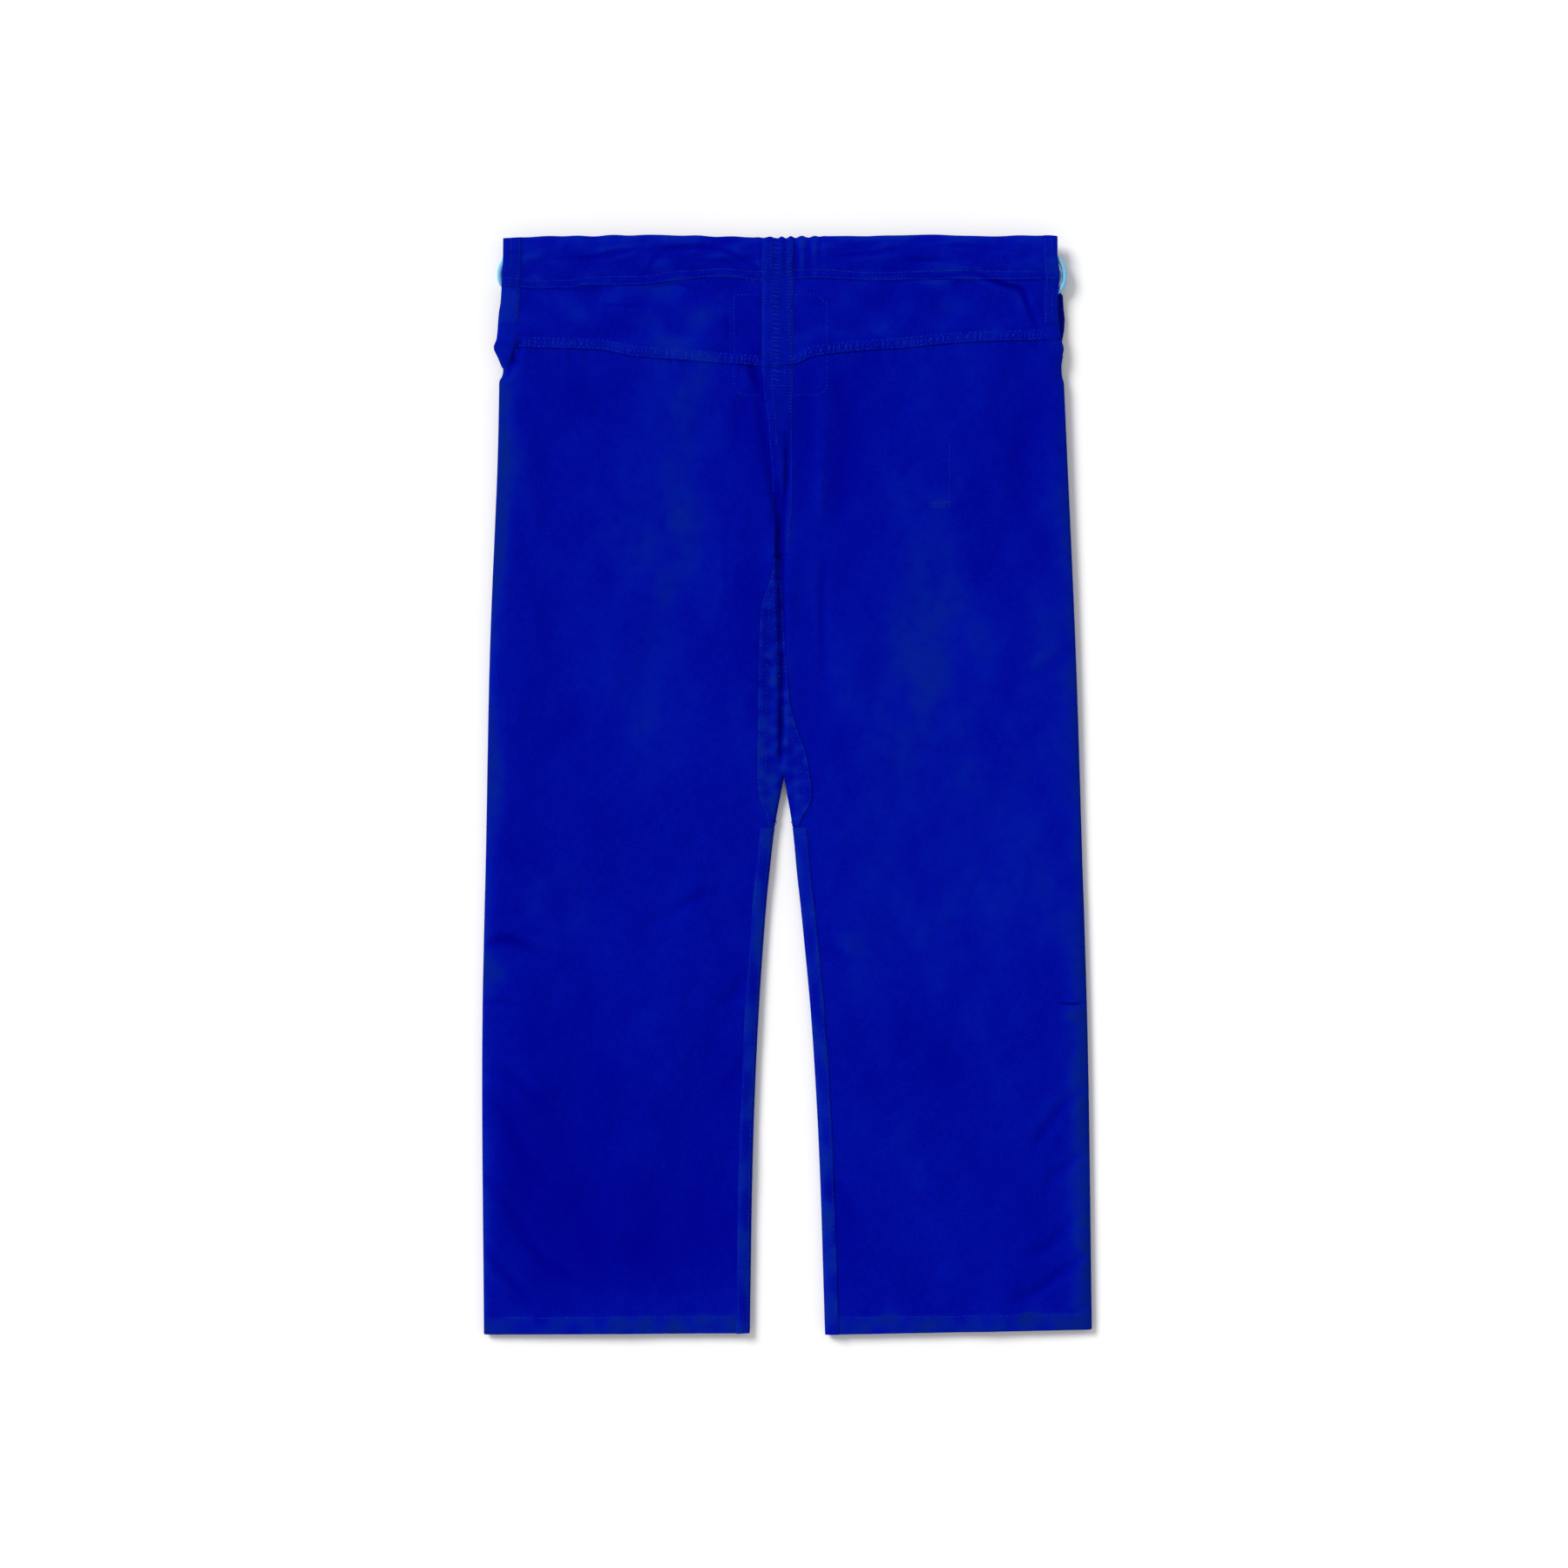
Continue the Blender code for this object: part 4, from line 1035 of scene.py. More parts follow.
def hip_route(side):
    """Line of a bight, from the back casing to the front casing. The right one turns once more."""
    inside_back = casing_leg(side, f"{side.name}_back_casing", BACK_Y, BACK_Z)
    inside_front = casing_leg(side, f"{side.name}_front_casing", FRONT_Y, FRONT_Z)
    back, front = inside_back[-1][0], inside_front[-1][0]
    bends = {
        "left": [
            (back - 0.0070, BACK_Y - 0.0055, BACK_Z - 0.0022), (-0.2566, 0.4570, MIDDLE_Z + 0.0003),
            (front - 0.0078, FRONT_Y - 0.0003, FRONT_Z + 0.0024),
        ],
        "right": [
            (0.2402, 0.4702, BACK_Z - 0.0003), (0.2447, 0.4655, BACK_Z - 0.0010),
            (0.2476, 0.4570, BACK_Z - 0.0024), (0.2470, 0.4480, BACK_Z - 0.0038),
            (0.2420, 0.4405, MIDDLE_Z + 0.0010), (0.2320, 0.4390, MIDDLE_Z),
            (0.2230, 0.4455, MIDDLE_Z), (0.2220, 0.4560, MIDDLE_Z),
            (0.2285, 0.4640, MIDDLE_Z - 0.0001), (0.2378, 0.4635, MIDDLE_Z - 0.0002),
            (0.2432, 0.4565, MIDDLE_Z - 0.0006), (0.2420, 0.4500, FRONT_Z + 0.0026),
        ],
    }
    return inside_back + bends[side.name] + inside_front[::-1]


TAILS = {  # side: (x where the cord leaves its casing, length, places on the floor)
    "left": (-0.0377, 0.347, (
        (-0.0310, 0.3850), (-0.0450, 0.3530), (-0.0750, 0.3300), (-0.1130, 0.3250), (-0.1520, 0.3330),
        (-0.1900, 0.3420), (-0.2160, 0.3600), (-0.2210, 0.3880), (-0.2030, 0.4080),
    )),
    "right": (0.0217, 0.339, (
        (0.0150, 0.3850), (0.0300, 0.3540), (0.0590, 0.3330), (0.0960, 0.3350), (0.1280, 0.3560),
        (0.1540, 0.3840), (0.1850, 0.3930), (0.2080, 0.3740), (0.2060, 0.3520),
    )),
}


def tail_route(side):
    """Line of a free end after it leaves the casing: through its strap, then over the floor."""
    on_floor = CORD / 2 + 0.00005
    exit_x, _, places = TAILS[side.name]
    turn = [
        (0.0027, FRONT_Y, FRONT_Z), (0.0067, FRONT_Y - 0.0028, FRONT_Z),
        (0.0097, FRONT_Y - 0.0115, FRONT_Z), (0.0097, 0.4100, 0.0033),
    ]
    turn = [(exit_x + side.inward * x, y, z) for x, y, z in turn]
    return turn + [(x, y, on_floor) for x, y in places]


def hip_loops():
    """The drawstring's bight at each hip."""
    for side in SIDES:
        name = f"drawstring_{side.name}_hip_loop"
        piece = braid(f"{name}_braid", even_points(hip_route(side), 0.0006))
        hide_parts(name)
        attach(piece, f"{side.name}_hip_loop")


def casing_runs():
    """The stretches of cord hidden in the casings."""
    for node in ("drawstring_back_run", "drawstring_left_run", "drawstring_right_run"):
        _, y, z = centre_of(node)
        ends = [(corner.x, y, z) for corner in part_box(node)]
        piece = braid(f"{node}_braid", even_points(ends, 0.0012), sides=16)
        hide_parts(node)
        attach(piece, "upper")


def cord_tip(side, start, ahead):
    """Shrunk sleeve on a cord end, with two crimped rings and a rounded end."""
    length = 0.020
    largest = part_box(f"{side.name}_cord_tip")[1].z / 2
    at = np.linspace(0, 1, 61)
    radius = largest * (0.985 - 0.05 * np.exp(-(((at - 0.22) / 0.035) ** 2)))
    radius -= largest * 0.05 * np.exp(-(((at - 0.34) / 0.035) ** 2))
    radius *= np.where(at > 0.94, np.sqrt(np.clip(1 - ((at - 0.94) / 0.0605) ** 2, 0.02, 1)), 1)
    radius *= np.where(at < 0.03, 0.93 + 0.07 * at / 0.03, 1)
    points = start + ahead * length * at[:, None]
    first, second = cord_frames(points)
    turn = np.linspace(0, 2 * math.pi, 28, endpoint=False)
    ripple = 1 + 0.012 * np.cos(7 * turn)[None, :] * np.sin(np.pi * at)[:, None]
    rings = points[:, None, :] + (radius[:, None] * ripple)[..., None] * (
        np.cos(turn)[None, :, None] * first[:, None, :] + np.sin(turn)[None, :, None] * second[:, None, :]
    )
    uv = np.stack(np.broadcast_arrays(turn[None, :] * largest, length * at[:, None]), axis=-1)
    piece = tube_grid(f"{side.name}_cord_tip_sleeve", rings, TIP, uv=uv.reshape(-1, 2))
    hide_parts(f"{side.name}_cord_tip")
    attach(piece, "upper")
    return piece


def tails():
    """The two free ends of the drawstring, from the front casings to their tips."""
    for side in SIDES:
        exit_x, length, _ = TAILS[side.name]
        exit_point = (exit_x, FRONT_Y, FRONT_Z)
        line = np.concatenate([np.array([exit_point]), even_points(tail_route(side), 0.0006)])
        ahead = unit(line[-1] - line[-2])
        start = line[-1] + ahead * GAP + np.array([0, 0, 0.0001])
        tip = cord_tip(side, start, ahead)
        name = f"drawstring_{side.name}_tail"
        piece = braid(f"{name}_braid", line)
        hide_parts(name)
        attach(piece, "upper")


# ---------------------------------------------------------------- waist


CASING_EDGE = 0.0011  # half height of a casing at its folded edges
CREST = 0.0036  # and of its outer face at its middle
RING_HALF = 34  # points over the top of a casing, and as many under it
TAPE_REACH = 0.0135  # from the centre to just past the tape's edge
BAND_DEPTH = 0.0098  # the stitched band along the yoke's lower edge
LOWER_ROW = 0.0014  # the two rows of stitches that close the casing, above its seam
UPPER_ROW = 0.0075


def gathers(x):
    """Ripples of the cloth where it is gathered at the middle of the back."""
    strength = np.exp(-(((x - CENTRE - 0.011) / 0.026) ** 4))
    return 0.0010 * strength * np.sin(2 * np.pi * (x - CENTRE) / 0.0098 + 0.8 * np.sin(x * 190))


def top_edge(x):
    """y of the waist's top edge, scalloped where the cloth is gathered."""
    return waist_edge(x) + gathers(x) + 0.00025 * waves(x, 0 * x, 0.030, 31)


def casing_wrinkles(x, y):
    """Long sideways wrinkles of the casing's cloth and gathers at the middle of the back."""
    wrinkles = 0.00026 * waves(x, y, 0.015, 32, (3.2, 1)) + 0.00022 * waves(x, y, 0.030, 33, (2.4, 1))
    wrinkles += 0.00014 * waves(x, y, 0.007, 34, (2.0, 1)) + crease_depth(x, y, CASING_CREASES)
    return wrinkles + gathers(x)


def over_cord(y, middle, clear):
    """Least height of a casing's outer face above the line of the cord inside it."""
    away = np.clip(1 - np.abs(y - middle) / 0.0062, 0, 1)
    return (CORD / 2 + CLOTH + clear) * np.sqrt(np.clip(away * (2 - away), 0, 1))


def casing_rise(x, y):
    """Height of the back casing's outer face over its middle."""
    low, high = casing_seam(x), top_edge(x)
    share = np.clip((y - low) / (high - low), 0, 1)
    bulge = np.sin(np.pi * share ** 1.25) ** 0.75
    stitched = np.exp(-(((y - low - UPPER_ROW) / 0.0016) ** 2))
    rise = CASING_EDGE + (CREST - CASING_EDGE) * bulge + casing_wrinkles(x, y) * bulge
    rise -= 0.0006 * stitched * bulge
    rise += pucker(y - low - 0.0045, x, 0.00028, 35, width=0.006, period=0.0105) * bulge
    return np.maximum(rise, np.maximum(over_cord(y, BACK_Y, 0.0002), CASING_EDGE * 0.9))


def casing_height(x, y):
    return BACK_Z + casing_rise(x, y)


def casing_rings(xs, low, high, middle_z, rise, drop):
    """Rings of (x, y, z) points round a folded casing, one for each x."""
    share = (1 - np.cos(np.linspace(0, np.pi, RING_HALF))) / 2
    x = np.repeat(xs[:, None], len(share), axis=1)
    y = low(x) + share * (high(x) - low(x))
    top = np.stack([x, y, middle_z(y) + rise(x, y)], axis=-1)
    under = np.stack([x, y, middle_z(y) - drop(x, y)], axis=-1)[:, ::-1]
    return np.concatenate([top, under], axis=1)


def press_edges(rings, level):
    """Flatten a casing's rings towards a level at its top and bottom edge."""
    half = np.linspace(-1, 1, RING_HALF)
    ends = np.abs(np.concatenate([half, -half])) ** 40
    rings[..., 2] = level + (rings[..., 2] - level) * (1 - 0.75 * ends)


def back_casing(side):
    """Back half of the waist casing on one side."""
    node = f"{side.name}_back_casing"
    box_low, box_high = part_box(node)
    xs = spread((box_low.x, box_high.x, 0.0018))

    def flat(_):
        return BACK_Z

    def drop(x, y):
        share = np.clip((y - casing_seam(x)) / (top_edge(x) - casing_seam(x)), 0, 1)
        return CASING_EDGE + (0.0031 - CASING_EDGE) * np.sin(np.pi * share ** 1.2) ** 0.8

    outer = casing_rings(xs, casing_seam, top_edge, flat, casing_rise, drop)
    press_edges(outer, BACK_Z)

    def inner_low(x):
        return casing_seam(x) + CASING_EDGE

    def inner_high(x):
        return top_edge(x) - CASING_EDGE

    def inner_rise(x, y):
        return np.maximum(casing_rise(x, y) - CLOTH, 0.0001)

    def inner_drop(x, y):
        return np.maximum(drop(x, y) - CLOTH, 0.0001)

    inner = casing_rings(xs, inner_low, inner_high, flat, inner_rise, inner_drop)
    x, y = outer[..., 0], outer[..., 1]
    # lighter along the folded top edge; the wrinkle term paints shade in the valleys and light on the crests
    # and gathers
    fade = 0.7 * np.exp(-np.abs(y - top_edge(x)) / 0.0022) + casing_wrinkles(x, y) / 0.0020
    piece = sleeve_grid(f"{node}_cloth", outer, inner, DOUBLE, np.clip(fade, -1, 1))
    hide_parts(node)
    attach(piece, "upper")


def front_casing(side):
    """Front half of the waist casing on one side. Its crest rests on the floor."""
    node = f"{side.name}_front_casing"
    box_low, box_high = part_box(node)
    xs = spread((box_low.x, box_high.x, 0.0028))
    seam_z = box_high.z - CASING_EDGE

    def low(x):
        return box_low.y + 0 * x

    def high(x):
        return box_high.y + 0.0004 * np.sin(x * 170) + 0 * x

    def middle_z(y):
        share = np.clip((FRONT_Y - y) / (FRONT_Y - box_low.y), 0, 1)
        return FRONT_Z + (seam_z - FRONT_Z) * share ** 1.5

    def bulge(x, y):
        share = np.clip((y - low(x)) / (high(x) - low(x)), 0, 1)
        ripples = 0.10 * waves(x, y, 0.016, 41, (4, 1))
        return np.clip(np.sin(np.pi * share) ** 0.8 * (0.95 + ripples), 0, 1)

    def half(x, y):
        rise = CASING_EDGE + (0.0033 - CASING_EDGE) * bulge(x, y)
        return np.maximum(rise, over_cord(y, FRONT_Y, 0.0001))

    def inside(x, y):
        return np.maximum(half(x, y) - CLOTH, 0.0001)

    outer = casing_rings(xs, low, high, middle_z, half, half)
    press_edges(outer, middle_z(outer[..., 1]))
    inner = casing_rings(
        xs, lambda x: low(x) + CLOTH, lambda x: high(x) - CLOTH, middle_z, inside, inside
    )
    piece = sleeve_grid(f"{node}_cloth", outer, inner, DOUBLE)
    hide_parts(node)
    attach(piece, "upper")


def yoke_edge(x):
    """y of the yoke's lower edge."""
    return np.where(x < CENTRE, yoke_seam["left"](x), yoke_seam["right"](x))


def yoke_folds(x, y):
    """Folds that the yoke and the seat cloth under it share, above the stitched band."""
    free = step_up(y - yoke_edge(x) - BAND_DEPTH, 0.006) * step_up(casing_seam(x) - y - 0.002, 0.004)
    soft = 0.00034 * waves(x, y, 0.024, 51, (2.2, 1)) + 0.00040 * waves(x, y, 0.060, 52)
    return (soft + 1.3 * crease_depth(x, y, CASING_CREASES)) * free


def yoke_height(x, y):
    """Outer face of the yoke. A doubled band runs along its lower edge."""
    band = np.clip(1 - np.abs(y - yoke_edge(x) - BAND_DEPTH / 2) / (BAND_DEPTH / 2), 0, 1)
    return back_height(x, y) + LAYER + 0.00032 * np.sqrt(band) + yoke_folds(x, y)


def outermost(x, y):
    """Height of whatever cloth lies outermost on the back, without tape and facings."""
    x, y = as_arrays(x, y)
    on_yoke = step_up(y - yoke_edge(x))
    on_casing = step_up(y - casing_seam(x))
    plain = back_height(x, y)
    level = plain + (yoke_height(x, y) - plain) * on_yoke
    return level + (casing_height(x, y) - level) * on_casing


def yoke(side):
    """Second layer of the seat below the casing."""
    node = f"{side.name}_back_yoke"
    low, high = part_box(node)
    outer_x, inner_x = (low.x, high.x) if side.inward > 0 else (high.x, low.x)
    share = spread((0, 0.12, 0.006), (0.12, 0.84, 0.024), (0.84, 1, 0.016))[:, None]
    length = abs(inner_x - outer_x)
    columns = spread((0, 0.010, 0.0009), (0.010, length, 0.0020))
    flat_x = outer_x + side.inward * columns[None, :]
    start = casing_seam(flat_x) - GAP
    end = yoke_seam[side.name](flat_x)
    y = start + share * (end - start)
    x = np.broadcast_to(flat_x, y.shape)
    shrink = np.clip(1 - columns / 0.02, 0, 1)[None, :]
    x = x + (side.outer(y) + side.inward * GAP - outer_x) * shrink
    face = np.stack([x, y, yoke_height(x, y)], axis=-1)
    band = step_up(end + BAND_DEPTH - y, 0.002)
    # the crease term is painted shade in the creases; the band is lighter
    fade = tones_and_crease_shading(x, y) + 0.18 * band + crease_depth(x, y, CASING_CREASES) / 0.0012
    fade += 0.20 * waves(x, y, 0.026, 53, (2.4, 1))
    piece = cloth_grid(f"{node}_cloth", face, DOUBLE, np.clip(fade, -1, 1))
    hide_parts(node)
    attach(piece, "upper")


FACING_PALE_PATCH = {"left": (0.4280, 0.0170), "right": (0.4620, 0.0095)}  # lighter patch: y, reach
FOLD_LINE = 0.4095  # where a hip facing is tucked under towards its point


def back_facing(side):
    """Facing of one hip vent, over the casing's end, folded to a point at its lower end."""
    node = f"{side.name}_back_placket"
    width = abs(VENT_POINT[side.name][0][1] - VENT_POINT[side.name][0][2])
    lowest = VENT_POINT[side.name][-1][0]
    top = float(top_edge(np.array([side.outer(TOP) + side.inward * width / 2]))[0])
    upper = [(top, 0.4735), (0.4735, 0.4535), (0.4535, 0.4320)]
    points = list(VENT_POINT[side.name])
    for y in (top, *(low for _, low in upper[:2])):
        outer = float(side.outer(y))
        points.append((y, outer, outer + side.inward * width))
    outer_line = smooth_line([(y, outer) for y, outer, _ in points])
    inner_line = smooth_line([(y, inner) for y, _, inner in points])
    y = spread((top, lowest, 0.0016))[:, None]
    share = np.array([0, 0.03, 0.08, 0.15, 0.25, 0.4, 0.55, 0.7, 0.85, 0.94, 1.0])[None, :]
    x = outer_line(y) + share * (inner_line(y) - outer_line(y))
    y = np.broadcast_to(y, x.shape)
    shift = top_edge(x) - top
    y = y + shift * np.clip((y - 0.470) / 0.02, 0, 1)
    inside_x = side.inward * np.maximum(side.inward * x, side.inward * (side.outer(y)) + 0.0004)
    z = outermost(inside_x, y) + LAYER
    tucked = np.clip((0.4300 - y) / 0.03, 0, 1)
    z = z - (0.0012 + 0.0022 * tucked) * (1 - roll(np.abs(x - outer_line(y)), 0.0050))
    z = z - 0.0010 * np.exp(-(1 - share) / 0.11) * step_up(y - 0.4000, 0.006)
    z = z - 0.0008 * step_up(FOLD_LINE - y, 0.0016) + 0.0009 * np.exp(-(((y - 0.390) / 0.008) ** 2)) * share
    face = np.stack([x, y, z], axis=-1)
    patch_y, reach = FACING_PALE_PATCH[side.name]
    fade = 0.30 * np.exp(-share / 0.15) + 0.40 * np.exp(-(((y - patch_y) / reach) ** 4))
    piece = cloth_grid(f"{node}_cloth", face, TRIM, fade)
    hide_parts(node)
    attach(piece, "upper")
    return outer_line, inner_line


FRONT_FACINGS = {
    "left": ((-0.2385, 0.0), (-0.2552, 0.0), (-0.2556, 0.4000), (-0.2552, 0.3800), (-0.2385, 0.3800)),
    "right": (
        (0.2290, 0.0), (0.2395, 0.0), (0.2400, 0.4330), (0.2410, 0.4380), (0.2442, 0.4402),
        (0.2466, 0.4370), (0.2472, 0.4260), (0.2484, 0.4156), (0.2478, 0.4060),
        (0.2457, 0.3950), (0.2442, 0.3800), (0.2290, 0.3800),
    ),
}


def dense(outline, spacing):
    """A closed outline with extra points along its edges."""
    points = []
    for a, b in zip(outline, [*outline[1:], outline[0]]):
        a, b = np.array(a), np.array(b)
        count = max(1, round(float(np.linalg.norm(b - a)) / spacing))
        points += [tuple(a + (b - a) * i / count) for i in range(count)]
    return points


def front_facing(side):
    """Facing of one hip vent on the front. The right one shows past the back's edge."""
    node = f"{side.name}_front_placket"
    outline = [(x, y or FRONT_TOP) for x, y in FRONT_FACINGS[side.name]]

    def level(x, y):
        return front_level(y) - LAYER + 0.0002 + 0 * x

    piece = cut_piece(f"{node}_cloth", dense(outline, 0.002), 0.0022, level, TRIM, down=True)
    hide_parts(node)
    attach(piece, "upper")


tape_left = smooth_line([(y, x - 0.0012) for y, x in furthest(node_points("centre_back_tape"), -1)])
tape_right = smooth_line([(y, x + 0.0012) for y, x in furthest(node_points("centre_back_tape"), 1)])


def tape_height(x, y):
    """Outer face of the centre back tape, whose edges are pressed flat."""
    near = np.minimum(x - tape_left(y), tape_right(y) - x)
    return outermost(x, y) + LAYER - 0.00095 * np.exp(-np.maximum(near, 0) / 0.0017)


def back_tape():
    """Tape over the centre back seam, from the waist's top edge to the gusset."""
    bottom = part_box("centre_back_tape")[0].y
    rows = spread((TOP, 0.440, 0.0013), (0.440, 0.366, 0.0010), (0.366, bottom, 0.0020))[:, None]
    share = spread((0, 0.15, 0.02), (0.15, 0.85, 0.05), (0.85, 1, 0.02))[None, :]
    x = tape_left(rows) + share * (tape_right(rows) - tape_left(rows))
    shift = top_edge(x) - TOP - 0.0004
    y = rows + shift * np.clip((rows - 0.470) / 0.02, 0, 1)
    face = np.stack([x, y, tape_height(x, y)], axis=-1)
    # below the yoke the tape takes the cloth's lighter and darker areas, with painted shade in the creases
    fade = 0.35 * np.exp(-np.minimum(share, 1 - share) / 0.06) + tones_and_crease_shading(x, y) * step_up(0.375 - y, 0.02)
    piece = cloth_grid("centre_back_tape_cloth", face, TRIM, np.clip(fade, -1, 1))
    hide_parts("centre_back_tape")
    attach(piece, "upper")


def front_tape():
    """Tape over the centre front seam."""
    low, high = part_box("centre_front_tape")
    y = spread((high.y, low.y, 0.0035))[:, None]
    x = spread((low.x, high.x, 0.0012))[None, :]
    x, y = np.broadcast_arrays(x, y)
    face = np.stack([x, y, front_second(x, y)], axis=-1)
    piece = cloth_grid("centre_front_tape_cloth", face, TRIM, down=True)
    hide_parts("centre_front_tape")
    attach(piece, "upper")


def cord_strap(side):
    """Small strap under the front waist that a cord end passes through."""
    node = f"{side.name}_cord_loop"
    low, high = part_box(node)
    middle = (low.x + high.x) / 2
    root = high.z - 0.0007
    ear = (high.x - low.x) / 2
    bend = CORD / 2 + 0.0010
    path = np.array([
        (-ear, root), (-bend - 0.0014, root), (-bend - 0.0004, root - 0.0007), (-bend, root - 0.0022),
        (-bend * 0.72, low.z + 0.0006), (0.0, low.z + 0.0001), (bend * 0.72, low.z + 0.0006),
        (bend, root - 0.0022), (bend + 0.0004, root - 0.0007), (bend + 0.0014, root), (ear, root),
    ])
    line = curve_points(path, 5)
    y = spread((high.y, low.y, 0.0012))[:, None]
    x, y = np.broadcast_arrays(middle + line[None, :, 0], y)
    z = np.broadcast_to(line[None, :, 1], x.shape)
    piece = cloth_grid(f"{node}_strap", np.stack([x, y, z], axis=-1), TRIM,
                       thickness=0.0007, down=True)
    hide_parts(node)
    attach(piece, "upper")


# ---------------------------------------------------------------- legs


EDGE_COLUMNS = np.array([
    0, 0.00012, 0.0003, 0.0006, 0.0010, 0.0015, 0.0022, 0.0031, 0.0042, 0.0056, 0.0074, 0.0097, 0.0125,
])
SEAM_COLUMNS = np.array([0, 0.00015, 0.0004, 0.0008, 0.0014, 0.0022, 0.0033, 0.0048, 0.0070, 0.0098, 0.0130])


def leg_columns(width, spacing):
    """Distances from the outer edge for a row of points across a leg, close at both edges."""
    middle = np.linspace(0, 1, round(0.245 / spacing))[None, 1:-1]
    reach = width[:, None] - ROLL - 0.016
    return np.concatenate([
        np.broadcast_to(EDGE_COLUMNS, (len(width), len(EDGE_COLUMNS))), ROLL + middle * reach,
        width[:, None] - SEAM_COLUMNS[::-1],
    ], axis=1)


def leg_sheet(side, top, inner, height, spacing, down=False):
    """One sheet of leg cloth from its top edge to its hem, which is folded up inside."""
    turn = 0.00098
    fall = -1 if down else 1
    rows = spread(
        (top, -0.186, spacing), (-0.186, -0.203, 0.0010), (-0.203, HEM + 0.010, spacing * 1.15),
        (HEM + 0.010, HEM + turn, 0.0012),
    )
    fold = np.linspace(0, np.pi, 8)[1:-1]
    back_up = np.linspace(HEM + turn, HEM + HEM_DEPTH, 9)
    y = np.concatenate([rows, np.full(len(fold), HEM + turn), back_up])
    shift = np.concatenate([np.zeros(len(rows)), turn * np.sin(fold), np.zeros(len(back_up))])
    sink = np.concatenate([np.zeros(len(rows)), turn * (1 - np.cos(fold)), np.full(len(back_up), 2 * turn)])
    inset = 0.0034 * np.clip(sink / (2 * turn), 0, 1)
    outer_x, inner_x = side.outer(y), inner(y)
    width = np.abs(inner_x - outer_x)
    away = leg_columns(width, spacing)
    away = inset[:, None] + away * (1 - 2 * inset / width)[:, None]
    x = outer_x[:, None] + side.inward * away
    flat_y = np.broadcast_to(y[:, None], x.shape)
    z = height(x, flat_y) - fall * sink[:, None]
    return x, flat_y - shift[:, None], z, away, width, len(rows)


def back_cloth(side):
    """Back of one half, from the casing to the hem: seat, thigh and calf in one panel."""

    def inner(y):
        return side.seam(y) - side.inward * (GAP / 2 + (y < GUSSET_TIP) * 0.0002)

    def height(x, y):
        return back_face(x, y) + yoke_folds(x, y)

    name = f"{side.name}_back_cloth"
    x, y, z, away, width, rows = leg_sheet(side, BACK_TOP, inner, height, 0.0025)
    near_top = np.clip((y[:rows] - 0.425) / (BACK_TOP - 0.425), 0, 1)
    y = y.copy()
    y[:rows] += (casing_seam(x[:rows]) - GAP - BACK_TOP) * near_top
    z[:rows] = height(x[:rows], y[:rows])
    hem = step_up(HEM + 0.016 - y, 0.002)
    hem = 0.50 * hem + 0.16 * np.exp(-np.clip(y - HEM - HEM_DEPTH, 0, 1) / 0.018)
    # the edge term is wear and painted shade along the rolled edges; the creases get painted shade
    fade = tones_and_crease_shading(x, y) + 0.75 * np.exp(-away / 0.008) + hem * (1 + 0.3 * waves(x, y, 0.03, 73))
    piece = cloth_grid(name, np.stack([x, y, z], axis=-1), BODY, np.clip(fade, -1, 1))
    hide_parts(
        f"{side.name}_seat_panel", f"{side.name}_calf_panel", f"{side.name}_back_hem"
    )
    side.fold(piece)
    area = float(np.trapz(width[:rows], -y[:rows, 0])) + HEM_DEPTH * float(width[-1])


def front_cloth(side):
    """Front of one half, from the front casing to the hem."""

    def inner(y):
        seam = side.seam(y) - side.inward * GAP
        return np.where(y < GUSSET_TIP, side.inner(y), seam)

    name = f"{side.name}_front_cloth"
    x, y, z, away, width, rows = leg_sheet(side, FRONT_TOP, inner, front_face, 0.0040, down=True)
    fade = 0.4 * np.exp(-away / 0.010) + 0.5 * np.exp(-np.clip(y - HEM, 0, 1) / 0.010)
    piece = cloth_grid(name, np.stack([x, y, z], axis=-1), BODY, np.clip(fade, 0, 1), down=True)
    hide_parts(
        f"{side.name}_front_panel", f"{side.name}_shin_panel", f"{side.name}_front_hem"
    )
    side.fold(piece)
    area = float(np.trapz(width[:rows], -y[:rows, 0])) + HEM_DEPTH * float(width[-1])


def side_seam(side):
    """Both seam allowances of the side seam, lying flat inside the leg's outer edge."""
    y = spread((VENT - 0.004, HEM + HEM_DEPTH + 0.0015, 0.0045))[:, None]
    away = np.array([0.0024, 0.0027, 0.0040, 0.0060, 0.0080, 0.0095, 0.0100])[None, :]
    wander = 0.0003 * np.sin(y * 210)
    x = side.outer(y) + side.inward * (away + wander * (away > 0.009))
    y = np.broadcast_to(y, x.shape)
    z = middle_level(y) + 0.0008 + 0.0001 * np.sin(y * 330)
    piece = cloth_grid(f"{side.name}_side_seam", np.stack([x, y, z], axis=-1), TRIM,
                       thickness=0.0016)
    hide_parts(f"{side.name}_side_seam_upper", f"{side.name}_side_seam_lower")
    side.fold(piece)


def fell_height(x, y):
    """Outer face of the felled inseam, which wraps the leg's inner edge."""
    inner = edge_distances(x, y)[1]
    middle = middle_level(y)
    pressed = 0.0006 * np.exp(-np.maximum(FELL_WIDTH - inner, 0) / 0.0012)
    full = back_level(y) + LAYER + back_relief(x, y) + 0.00010 - pressed
    ridge = 0.00022 * np.sin(np.pi * np.clip(inner / FELL_WIDTH, 0, 1))
    return middle + (full + ridge - middle) * roll(inner, 0.0145) + SKIN


